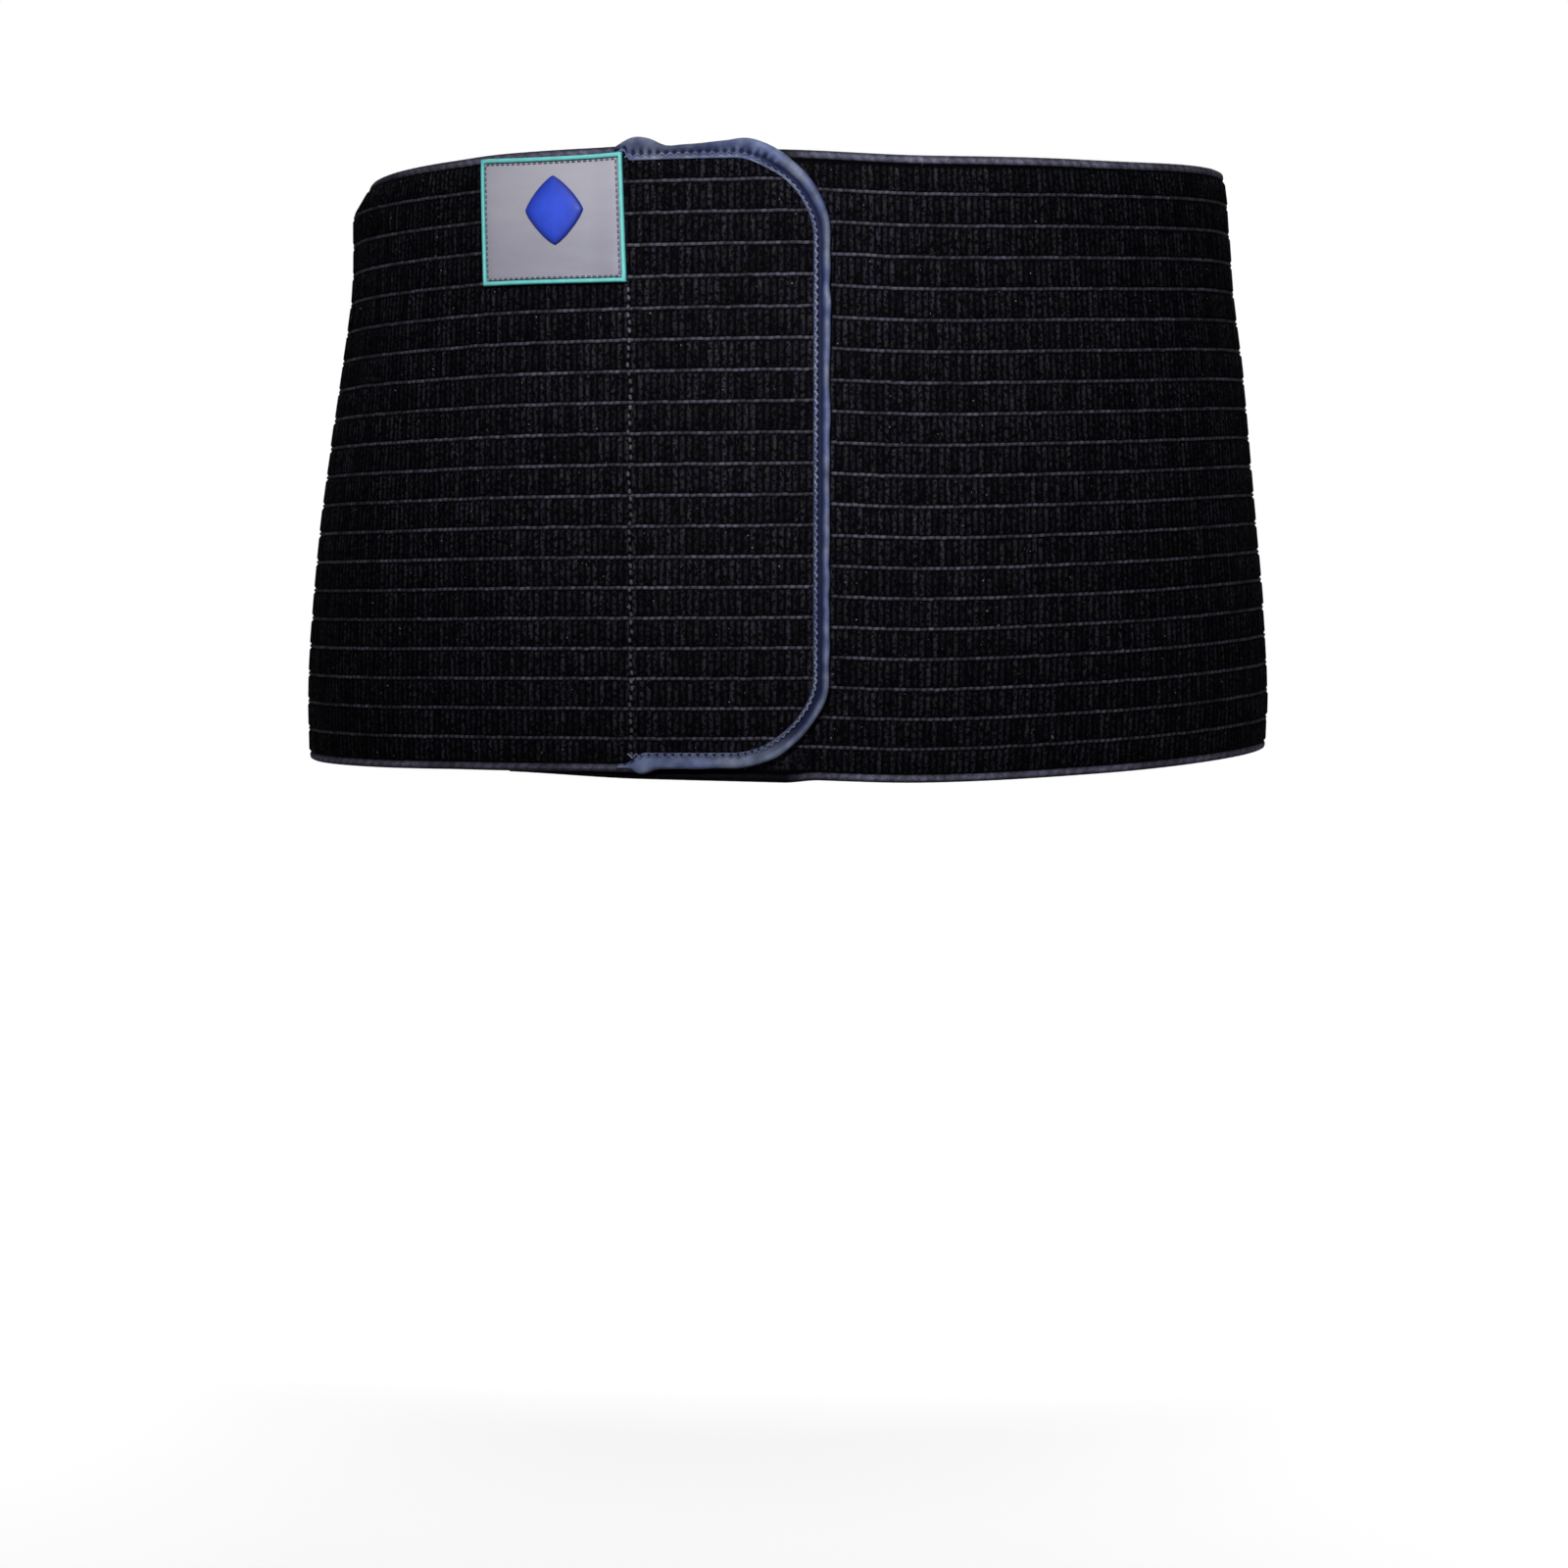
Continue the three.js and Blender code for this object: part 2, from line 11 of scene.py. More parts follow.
import bpy
import numpy as np
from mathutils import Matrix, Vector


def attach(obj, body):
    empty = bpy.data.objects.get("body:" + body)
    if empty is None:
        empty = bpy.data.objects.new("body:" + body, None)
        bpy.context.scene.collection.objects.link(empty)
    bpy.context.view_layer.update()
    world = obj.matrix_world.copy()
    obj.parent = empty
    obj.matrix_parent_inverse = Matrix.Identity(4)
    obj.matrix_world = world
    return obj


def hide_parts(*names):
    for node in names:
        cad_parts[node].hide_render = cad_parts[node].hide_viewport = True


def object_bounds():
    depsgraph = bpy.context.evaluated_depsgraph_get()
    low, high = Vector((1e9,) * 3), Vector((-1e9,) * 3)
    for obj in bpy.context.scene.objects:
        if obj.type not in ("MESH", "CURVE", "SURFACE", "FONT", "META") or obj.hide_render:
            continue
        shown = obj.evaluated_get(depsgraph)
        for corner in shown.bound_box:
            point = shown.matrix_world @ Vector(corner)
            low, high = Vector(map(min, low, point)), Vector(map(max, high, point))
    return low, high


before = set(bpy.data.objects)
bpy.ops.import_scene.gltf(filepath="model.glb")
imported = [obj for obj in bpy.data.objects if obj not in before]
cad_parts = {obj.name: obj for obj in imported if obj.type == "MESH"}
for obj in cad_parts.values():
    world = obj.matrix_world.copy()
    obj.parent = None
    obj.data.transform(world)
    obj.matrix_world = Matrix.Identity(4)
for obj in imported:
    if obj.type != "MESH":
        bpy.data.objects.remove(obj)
cad_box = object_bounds()

MM = 0.001
TUBE_SIDES = 6
rng = np.random.default_rng(11)

# The wearer's body under the belt
HIP_WIDTH = 339.4
FRONT_DEPTH = 112.6
BACK_DEPTH = 124
FRONT_ROUNDNESS = 2
BACK_ROUNDNESS = 2.3

# The elastic wrap
BELT_HEIGHT = 203
BAND_COUNT = 20
BAND_TAPER = 0.025
WALL = 1.6
BAND_BULGE = 0.8
BAND_SHOULDER = 0.15
SELVAGE_HEIGHT = 2.2
EDGE_ALLOWANCE = 1.1
BODY_GAP = 0.2
LAYER_GAP = 0.35
WRAP_DRIFT = 4
RIB_PITCH = 2.24
RIB_DEPTH = 0.5
RIB_UNEVENNESS = 0.09
INNER_GROOVE = 0.55
INNER_COLUMNS = 220
GROOVE_DEPTH = 0.15
CREST_DROP = 0.05
HIDDEN_MARGIN = 4

# Where the wrap ends, along the lap from the front centre
UNDER_END = -95
FLAP_END = 12
STITCH_LINE = -52
CLIMB_LENGTH = 26
HOOK_CLIMB_LENGTH = 12
FLAP_CORNER = 30
LOW_CORNER_CUT = 1.2
BOUND_TRIM = 1
FLAP_SLACK = (0.72, 0.9)

# The threads between the bands, and the corded selvages
THREAD_WIDTH = 1.3
THREAD_HEIGHT = 0.62
THREAD_SWAY = 0.07
THREAD_MARGIN = 2
SELVAGE_PROUD = 0.45
SELVAGE_RISE = 0.9
UNDER_SHOWN = 6
UNDER_DROP = 1.1
CORD_TWIST = 2

# The tape that binds the flap's end
TAPE_WIDTH = 6.2
TAPE_LENGTH = 315
TAPE_STEP = 0.45
TAPE_FOLD = 1.9
TAPE_TAIL = 3.6
TAPE_TUCK = 0.3
TAPE_RAISE = 0.9
ZIGZAG_PITCH = 2.65
ZIGZAG_THREAD = 0.62
ZIGZAG_INNER = {"top": 2.8, "upright": 4.15, "corner": 4.4, "bottom": 5.0}
ZIGZAG_OUTER = {"top": 1.6, "upright": 3.3, "corner": 3.9, "bottom": 3.5}
DIMPLE_TOP = 1.8
DIMPLE_BOTTOM = 4.45
DIMPLE_SIZE = 1.0
DIMPLE_DEPTH = 0.35
ZIGZAG_STEP = 0.35
ZIGZAG_LIFT = 0.75
RIPPLE_COUNT = 60
RIPPLE_SIZE = 0.12
PUCKER_COUNT = 118
PUCKER_SIZE = 0.08

# The hook panel and its seam
HOOK_WALL = 1.1
HOOK_MARGIN = 1
HOOK_COLUMNS = 26
HOOK_ROWS = 96
SEAM_PITCH = 2.7
SEAM_REACH = 0.5
SEAM_THREAD = 1.25
SEAM_STITCH = 0.58
SEAM_FOOT = 4.5
SEAM_SHIFT = 1.2

# The label
LABEL_WIDTH = 50.6
LABEL_HEIGHT = 42
LABEL_BORDER = 1.9
LABEL_WALL = 1.3
LABEL_GAP = 0.3
LABEL_DROP = 1.5
LABEL_LEAN = math.radians(2)
LABEL_SLOPE = math.radians(-0.8)
LABEL_STITCH = 1.9
LABEL_SAG = 0.6
EMBLEM_WIDTH = 20
EMBLEM_HEIGHT = 23
EMBLEM_SHIFT = 1.6
EMBLEM_LIFT = 3.2
EMBLEM_SIDES = 72
EMBLEM_ROUNDNESS = 1.25

# The camera and the room
CAMERA_PLACE = (-0.0018, -1.170, -0.0104)
CAMERA_PITCH = math.radians(5.07)
CAMERA_LENS = 74.3
FLOOR_DROP = 0.2
FLOOR_RADIUS = 1.6
FLOOR_GLOW = 0.72
SURROUND_LIGHT = 0.06
KEY_PLACE = (-0.15, -1.9, 0.75)
KEY_CONE = math.radians(12.2)
KEY_POWER = 170
KEY_RADIUS = 0.08

# The soft lights: place, size and power
FILL_LIGHT = ((1.0, -1.6, 0.4), 0.9, 2)
BACK_LIGHT = ((0.2, 2.0, 1.0), 1.2, 32)
TOP_LIGHT = ((0.0, 0.1, 1.2), 0.5, 7)

# The body's outline by height: shares of the belt's height and of the three sizes above.
BODY_HEIGHTS = [0.0, 0.12, 0.25, 0.4, 0.55, 0.7, 0.8, 0.9, 0.96, 1.0]
BODY_WIDTHS = [0.998, 1.0, 0.99, 0.972, 0.949, 0.924, 0.906, 0.895, 0.884, 0.872]
BODY_FRONTS = [0.985, 0.997, 1.0, 0.997, 0.99, 0.98, 0.972, 0.964, 0.956, 0.948]
BODY_BACKS = [0.99, 1.0, 0.998, 0.98, 0.95, 0.91, 0.885, 0.865, 0.852, 0.842]

# How far the wrap rides up as it goes round: shares of one lap and of WRAP_DRIFT.
LIFT_LAPS = [-0.12, -0.05, 0.0, 0.05, 0.12, 0.22, 0.5, 0.75, 0.82, 0.9, 1.0, 1.05]
LIFT_SHARES = [0.05, -0.05, -0.25, -0.6, -0.25, 0.4, -0.1, -0.6, -0.3, 0.2, 0.45, 0.55]

# How far the loose cloth stands off the body at its two sides, by height.
FLARE_REACH = 110
FLARE_HEIGHTS = [-101.5, -60, -15, 25, 60, 84, 91, 96, 102]
RIGHT_FLARE = [0.0, 0.0, 0.2, 1.6, 2.2, 2.4, 3.2, 3.8, 4.2]
LEFT_FLARE = [1.2, 0.8, 0.5, -0.3, -0.6, 0.7, 1.4, -1.0, -2.8]

# Where the tape puffs past the cloth's edge: shares of its own length and of TAPE_FOLD.
PUFF_ALONG = [0.0, 0.02, 0.035, 0.055, 0.08, 0.115, 0.136, 0.155, 0.18, 0.26, 0.955, 0.976, 0.988, 1.0]
PUFF_SHARES = [0.1, 1.35, 1.3, 0.05, 0.15, 0.6, 1.0, 0.7, 0.45, 0.0, 0.0, 0.9, 0.0, 0.0]


# Places on the cloth


def smooth_curve(xs, ys, at):
    """The values at some places on a smooth curve through the points."""
    xs, ys = np.asarray(xs, float), np.asarray(ys, float)
    at = np.clip(at, xs[0], xs[-1])
    before = np.maximum(np.arange(len(xs)) - 1, 0)
    after = np.minimum(np.arange(len(xs)) + 1, len(xs) - 1)
    tangents = (ys[after] - ys[before]) / (xs[after] - xs[before])
    i = np.clip(np.searchsorted(xs, at, side="right") - 1, 0, len(xs) - 2)
    span = xs[i + 1] - xs[i]
    t = (at - xs[i]) / span
    return (
        (2 * t**3 - 3 * t**2 + 1) * ys[i]
        + (t**3 - 2 * t**2 + t) * span * tangents[i]
        + (3 * t**2 - 2 * t**3) * ys[i + 1]
        + (t**3 - t**2) * span * tangents[i + 1]
    )


def smoothstep(at, low, high):
    t = np.clip((at - low) / (high - low), 0, 1)
    return t * t * (3 - 2 * t)


def body_point(bearing, z):
    """The body's surface at a bearing round the wearer, and the level direction off it."""
    share = np.clip(z / BELT_HEIGHT + 0.5, 0, 1)
    half_width = smooth_curve(BODY_HEIGHTS, BODY_WIDTHS, share) * HIP_WIDTH / 2
    in_front = np.cos(bearing) > 0
    front = smooth_curve(BODY_HEIGHTS, BODY_FRONTS, share) * FRONT_DEPTH
    back = smooth_curve(BODY_HEIGHTS, BODY_BACKS, share) * BACK_DEPTH
    depth = np.where(in_front, front, back)
    roundness = np.where(in_front, FRONT_ROUNDNESS, BACK_ROUNDNESS)
    across = np.abs(np.sin(bearing)) / half_width
    along = np.abs(np.cos(bearing)) / depth
    radius = (across**roundness + along**roundness) ** (-1 / roundness)
    x = radius * np.sin(bearing)
    y = -radius * np.cos(bearing)
    nx = np.sign(x) * np.abs(x / half_width) ** (roundness - 1) / half_width
    ny = np.sign(y) * np.abs(y / depth) ** (roundness - 1) / depth
    size = np.hypot(nx, ny)
    return x, y, nx / size, ny / size


LAP_STEPS = 720
LAP_BEARINGS = np.linspace(0, 2 * math.pi, LAP_STEPS + 1)
lap_x, lap_y, _, _ = body_point(LAP_BEARINGS, 0.0)
LAP_RUNS = np.concatenate([[0], np.cumsum(np.hypot(np.diff(lap_x), np.diff(lap_y)))])
LAP = LAP_RUNS[-1]


def bearing_at(run):
    return np.interp(np.mod(run, LAP), LAP_RUNS, LAP_BEARINGS)


RIGHT_SIDE, LEFT_SIDE = np.interp([math.pi / 2, math.pi * 1.5], LAP_BEARINGS, LAP_RUNS)


def side_flare(run, height):
    """How far the cloth stands off at each side."""
    flare = np.zeros_like(height)
    for side_run, values in ((RIGHT_SIDE, RIGHT_FLARE), (LEFT_SIDE, LEFT_FLARE)):
        near = smoothstep(1 - np.abs(run - side_run) / FLARE_REACH, 0, 1)
        flare = flare + near * smooth_curve(FLARE_HEIGHTS, values, height)
    return flare


def place(run, height, out):
    """A place on the cloth, wrapped on the body: an array of points in millimetres."""
    run, height, out = np.broadcast_arrays(
        np.asarray(run, float), np.asarray(height, float), np.asarray(out, float)
    )
    z = height + smooth_curve(LIFT_LAPS, LIFT_SHARES, run / LAP) * WRAP_DRIFT
    bearing = bearing_at(run)
    middle_x, middle_y, _, _ = body_point(bearing, np.zeros_like(z))
    here_x, here_y, _, _ = body_point(bearing, z)
    ratio = np.hypot(middle_x, middle_y) / np.hypot(here_x, here_y)
    slack = smoothstep(run / LAP, *FLAP_SLACK)
    from_front = (run - LAP) * (1 + slack * (ratio - 1))
    x, y, nx, ny = body_point(bearing_at(LAP + from_front), z)
    out = out + side_flare(run, height)
    return np.stack([x + nx * out, y + ny * out, z], axis=-1)


flap_end = LAP + FLAP_END
stitch_line = LAP + STITCH_LINE
over_under_end = LAP + UNDER_END
half_height = BELT_HEIGHT / 2
bound_half = half_height - BOUND_TRIM
crest = WALL + BAND_BULGE


def standoff_at(run):
    """How far the cloth's inner face stands off the body."""
    over_end = smoothstep(run, over_under_end - CLIMB_LENGTH, over_under_end)
    over_hooks = smoothstep(run, stitch_line - HOOK_CLIMB_LENGTH, stitch_line)
    return BODY_GAP + over_end * (crest + LAYER_GAP) + over_hooks * (HOOK_WALL + LAYER_GAP)


def on_cloth(run, height, out):
    """A place that counts out from the cloth's inner face."""
    return place(run, height, standoff_at(np.asarray(run, float)) + out)


def groove_height(k):
    """The height of the groove below band k, counted from the bottom."""
    if k == 0:
        return SELVAGE_HEIGHT - half_height
    if k == BAND_COUNT:
        return half_height - SELVAGE_HEIGHT
    pitch = (BELT_HEIGHT - 2 * EDGE_ALLOWANCE) / BAND_COUNT
    bands = k * (1 - BAND_TAPER) + BAND_TAPER * k * (k - 1) / (BAND_COUNT - 1)
    return EDGE_ALLOWANCE - half_height + bands * pitch


def low_corner_cut(run):
    """How much higher the flap's lower edge is than a round corner would be."""
    past = np.clip(run - (flap_end - FLAP_CORNER), 0, FLAP_CORNER) / FLAP_CORNER
    return 4 * LOW_CORNER_CUT * past**2 * np.sqrt(1 - past**2)


def flap_reach(run):
    """How high the flap's bound edge is at each run, counted from the belt's middle."""
    past = np.clip(run - (flap_end - FLAP_CORNER), 0, FLAP_CORNER)
    corner = bound_half - FLAP_CORNER + np.sqrt(FLAP_CORNER**2 - past**2)
    trim = smoothstep(run, stitch_line - 2, stitch_line)
    return half_height + trim * (corner - half_height)


# Meshes


def make_mesh(name, points, faces):
    """A smooth mesh from points in millimetres and faces of three points or more."""
    points = np.asarray(points, float).reshape(-1, 3) * MM
    data = bpy.data.meshes.new(name)
    sizes = np.array([len(f) for f in faces])
    corners = np.concatenate([np.asarray(f, np.int64) for f in faces])
    data.vertices.add(len(points))
    data.vertices.foreach_set("co", points.ravel())
    data.loops.add(len(corners))
    data.loops.foreach_set("vertex_index", corners)
    data.polygons.add(len(sizes))
    data.polygons.foreach_set("loop_start", np.concatenate([[0], np.cumsum(sizes)[:-1]]))
    data.polygons.foreach_set("loop_total", sizes)
    data.update(calc_edges=True)
    data.polygons.foreach_set("use_smooth", np.ones(len(sizes), bool))
    data.validate()
    piece = bpy.data.objects.new(name, data)
    bpy.context.scene.collection.objects.link(piece)
    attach(piece, "root")
    return piece


def grid_faces(rows, columns, start=0, looped=False, flip=False):
    """The quads of a grid of points, row by row."""
    i, j = np.meshgrid(np.arange(rows - 1), np.arange(columns if looped else columns - 1), indexing="ij")
    a = start + i * columns + j
    b = start + i * columns + (j + 1) % columns
    quads = np.stack([a, b, b + columns, a + columns], axis=-1).reshape(-1, 4)
    return (quads[:, ::-1] if flip else quads).tolist()


def dressed(piece, slot, material, *nodes):
    """Give a piece its material and hide the CAD nodes that it stands for; the slot is not used."""
    if nodes:
        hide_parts(*nodes)
    piece.data.materials.clear()
    piece.data.materials.append(material)
    return piece


def add_values(piece, name, values, kind):
    """Store a value for each point of a mesh, for its material to read."""
    layer = piece.data.attributes.new(name, kind, "POINT")
    key = "value" if kind == "FLOAT" else "vector"
    layer.data.foreach_set(key, np.asarray(values, float).ravel())


def flat_places(run, height, out):
    """The cloth's own places of a grid, one to a row."""
    return np.stack([run, height, out], axis=-1).reshape(-1, 3)


def store_look(piece, places, shade):
    """Store each point's place on the cloth and how light it is."""
    add_values(piece, "cloth", np.reshape(places, (-1, 3)) * MM, "FLOAT_VECTOR")
    add_values(piece, "shade", shade, "FLOAT")


def tube(path, radius, sides=TUBE_SIDES):
    """Points and faces of a closed thread along a path; the radius may change along it."""
    path = np.asarray(path, float)
    radius = np.broadcast_to(np.asarray(radius, float), len(path))
    along = np.gradient(path, axis=0)
    along /= np.linalg.norm(along, axis=1, keepdims=True)
    side = np.cross(along, [0.3, 0.2, 1.0])
    side /= np.linalg.norm(side, axis=1, keepdims=True)
    up = np.cross(side, along)
    turn = np.linspace(0, 2 * math.pi, sides, endpoint=False)
    ring = side[:, None] * np.cos(turn)[:, None] + up[:, None] * np.sin(turn)[:, None]
    points = (path[:, None] + ring * radius[:, None, None]).reshape(-1, 3)
    faces = grid_faces(len(path), sides, looped=True)
    last = (len(path) - 1) * sides
    faces.append(list(range(sides))[::-1])
    faces.append([last + j for j in range(sides)])
    return points, faces


def join_parts(parts):
    """One list of points and one of faces from several."""
    points, faces, start = [], [], 0
    for part_points, part_faces in parts:
        points.append(part_points)
        faces.extend([[v + start for v in f] for f in part_faces])
        start += len(part_points)
    return np.concatenate(points), faces


def rib_columns(start, end):
    """The runs of a ribbed piece's columns: three to a rib, and each one's place in its rib."""
    ribs = round((end - start) / RIB_PITCH)
    runs = np.linspace(start, end, ribs * 3 + 1)
    return runs, np.arange(len(runs)) % 3, np.arange(len(runs)) // 3


# Materials


def linear(red, green, blue):
    """A colour of 0 to 255, as the linear one that a shader takes."""
    return [((c / 255 + 0.055) / 1.055) ** 2.4 if c > 10 else c / 255 / 12.92 for c in (red, green, blue)]


def new_material(name):
    material = bpy.data.materials.new(name)
    material.use_nodes = True
    nodes = material.node_tree.nodes
    return material, nodes, material.node_tree.links, nodes["Principled BSDF"]


def stored_value(nodes, name, output="Fac"):
    node = nodes.new("ShaderNodeAttribute")
    node.attribute_name = name
    return node.outputs[output]


def stretched(nodes, links, vector, scale):
    node = nodes.new("ShaderNodeMapping")
    node.inputs["Scale"].default_value = scale
    links.new(vector, node.inputs["Vector"])
    return node.outputs["Vector"]


def noise(nodes, links, vector, size, detail=2.0):
    """Noise whose lumps are about this many millimetres across."""
    node = nodes.new("ShaderNodeTexNoise")
    node.inputs["Scale"].default_value = 1 / (size * MM)
    node.inputs["Detail"].default_value = detail
    links.new(vector, node.inputs["Vector"])
    return node.outputs["Fac"]


def ranged(nodes, links, value, low, high, to_low=0.0, to_high=1.0):
    node = nodes.new("ShaderNodeMapRange")
    node.inputs["From Min"].default_value = low
    node.inputs["From Max"].default_value = high
    node.inputs["To Min"].default_value = to_low
    node.inputs["To Max"].default_value = to_high
    links.new(value, node.inputs["Value"])
    return node.outputs["Result"]


def mixed(nodes, links, low, high, share):
    node = nodes.new("ShaderNodeMix")
    node.data_type = "RGBA"
    for name, colour in (("A", low), ("B", high)):
        if isinstance(colour, bpy.types.NodeSocket):
            links.new(colour, node.inputs[name])
        else:
            node.inputs[name].default_value = (*colour, 1)
    links.new(share, node.inputs["Factor"])
    return node.outputs["Result"]


def combined(nodes, links, operation, first, second):
    node = nodes.new("ShaderNodeMath")
    node.operation = operation
    for i, value in enumerate((first, second)):
        if isinstance(value, bpy.types.NodeSocket):
            links.new(value, node.inputs[i])
        else:
            node.inputs[i].default_value = value
    return node.outputs["Value"]


def bumped(nodes, links, shader, height, distance):
    node = nodes.new("ShaderNodeBump")
    node.inputs["Distance"].default_value = distance * MM
    node.inputs["Strength"].default_value = 1.0
    links.new(height, node.inputs["Height"])
    links.new(node.outputs["Normal"], shader.inputs["Normal"])


def elastic_material():
    """Black yarn: lighter short streaks along the ribs' crests, painted black as shade in the valleys and
    grooves between them, and rare lint.
    """
    material, nodes, links, shader = new_material("ribbed elastic")
    cloth = stored_value(nodes, "cloth", "Vector")
    shade = stored_value(nodes, "shade")
    streaks = noise(nodes, links, stretched(nodes, links, cloth, (1.0, 0.75, 1.0)), 0.9)
    streaks = ranged(nodes, links, streaks, 0.4, 0.6, 0.04, 1.05)
    ticks = noise(nodes, links, stretched(nodes, links, cloth, (0.5, 1.4, 1.0)), 1.0)
    streaks = combined(nodes, links, "MULTIPLY", streaks, ranged(nodes, links, ticks, 0.4, 0.6, 0.6, 1.15))
    # The stored shade is painted shade: black in the rib valleys and grooves, lighter on the crests.
    share = combined(nodes, links, "MULTIPLY", streaks, combined(nodes, links, "POWER", shade, 1.5))
    tints = ranged(nodes, links, noise(nodes, links, cloth, 3.0), 0.4, 0.6)
    yarn = mixed(nodes, links, linear(48, 45, 58), linear(50, 49, 52), tints)
    colour = mixed(nodes, links, linear(2, 2, 4), yarn, share)
    lint = ranged(nodes, links, noise(nodes, links, cloth, 1.0, 0.0), 0.855, 0.89)
    colour = mixed(nodes, links, colour, linear(120, 118, 122), lint)
    links.new(colour, shader.inputs["Base Color"])
    shader.inputs["Roughness"].default_value = 0.8
    shader.inputs["Specular IOR Level"].default_value = 0.03
    weave = noise(nodes, links, stretched(nodes, links, cloth, (1.0, 1.5, 1.0)), 0.55)
    bumped(nodes, links, shader, weave, 0.22)
    return material


def thread_material(name, dark, light, specular=0.15):
    """Spun thread: the stored shade times fine lumps and longer stretches of wear."""
    material, nodes, links, shader = new_material(name)
    cloth = stored_value(nodes, "cloth", "Vector")
    lumps = ranged(nodes, links, noise(nodes, links, cloth, 1.1), 0.3, 0.7, 0.45, 1.0)
    wear = ranged(nodes, links, noise(nodes, links, cloth, 20.0), 0.38, 0.62, 0.6, 1.15)
    share = combined(nodes, links, "MULTIPLY", lumps, stored_value(nodes, "shade"))
    share = combined(nodes, links, "MULTIPLY", share, wear)
    links.new(mixed(nodes, links, dark, light, share), shader.inputs["Base Color"])
    shader.inputs["Roughness"].default_value = 0.65
    shader.inputs["Specular IOR Level"].default_value = specular
    bumped(nodes, links, shader, noise(nodes, links, cloth, 0.35), 0.12)
    return material


def tape_material():
    """Steel-blue tape, with a painted highlight on its roll and painted shade, navy, in its groove."""
    material, nodes, links, shader = new_material("binding tape")
    cloth = stored_value(nodes, "cloth", "Vector")
    patches = ranged(nodes, links, noise(nodes, links, cloth, 4.0), 0.35, 0.65, 0.6, 1.0)
    # The stored shade is painted light and shade: lit on the roll, dark in the groove and the dimples.
    share = combined(nodes, links, "MULTIPLY", patches, stored_value(nodes, "shade"))
    tints = ranged(nodes, links, noise(nodes, links, cloth, 7.0), 0.4, 0.6)
    lit = mixed(nodes, links, linear(104, 116, 156), linear(124, 133, 156), tints)
    links.new(mixed(nodes, links, linear(13, 21, 56), lit, share), shader.inputs["Base Color"])
    shader.inputs["Roughness"].default_value = 0.5
    shader.inputs["Specular IOR Level"].default_value = 0.12
    bumped(nodes, links, shader, noise(nodes, links, stretched(nodes, links, cloth, (1, 2, 2)), 0.6), 0.08)
    return material


def plain_material(name, dark, light, roughness, specular, lump, bump):
    """A surface whose colour and height waver a little; its colour is also darkened by its stored painted
    shade.
    """
    material, nodes, links, shader = new_material(name)
    cloth = stored_value(nodes, "cloth", "Vector")
    patches = noise(nodes, links, cloth, lump)
    share = combined(nodes, links, "MULTIPLY", ranged(nodes, links, patches, 0.35, 0.65, 0.86, 1.0),
                     stored_value(nodes, "shade"))
    links.new(mixed(nodes, links, dark, light, share), shader.inputs["Base Color"])
    shader.inputs["Roughness"].default_value = roughness
    shader.inputs["Specular IOR Level"].default_value = specular
    bumped(nodes, links, shader, patches, bump)
    return material


def satin_material():
    """Grey satin with painted light that grows towards the top: fine level threads, and faint wrinkles
    with painted sheen.
    """
    material, nodes, links, shader = new_material("label satin")
    cloth = stored_value(nodes, "cloth", "Vector")
    wrinkles = noise(nodes, links, stretched(nodes, links, cloth, (0.25, 1.0, 1.0)), 5.0)
    # Painted sheen along the wrinkles, added to the stored painted light that grows towards the top.
    share = ranged(nodes, links, wrinkles, 0, 1, -0.2, 0.2)
    share = combined(nodes, links, "ADD", stored_value(nodes, "shade"), share)
    links.new(mixed(nodes, links, linear(143, 141, 155), linear(176, 175, 186), share),
              shader.inputs["Base Color"])
    shader.inputs["Roughness"].default_value = 0.5
    shader.inputs["Specular IOR Level"].default_value = 0.25
    threads = noise(nodes, links, stretched(nodes, links, cloth, (0.2, 2.0, 1.0)), 0.4)
    bumped(nodes, links, shader, combined(nodes, links, "ADD", threads, wrinkles), 0.06)
    return material


# The elastic


def elastic_rows():
    """The wall's section from the bottom edge up: how far out, how high, which band, and its painted
    shade.
    """
    # Painted shade: dark at the edges, black in the grooves, and the shoulders a little darker than each
    # band's middle.
    edge = [(0.0, 0.5, 0.3), (WALL / 2, 0.0, 0.3), (WALL, 0.6, 0.2)]
    rows = [(out, inset - half_height, -1, light) for out, inset, light in edge]
    for k in range(BAND_COUNT):
        low = groove_height(k)
        band = groove_height(k + 1) - low
        rows.append((WALL - GROOVE_DEPTH, low, -1, 0.0))
        rows.append((crest - CREST_DROP, low + band * BAND_SHOULDER, k, 0.85))
        rows.append((crest - CREST_DROP, low + band * (1 - BAND_SHOULDER), k, 1.0))
    rows.append((WALL - GROOVE_DEPTH, groove_height(BAND_COUNT), -1, 0.0))
    rows += [(out, half_height - inset, -1, light) for out, inset, light in reversed(edge)]
    return [np.array(column) for column in zip(*rows)]


def lower_trim(run):
    """How far inside its outline the flap's lower edge stops, under the tape."""
    return TAPE_RAISE * smoothstep(run, stitch_line - 2, stitch_line + 2) + low_corner_cut(run)


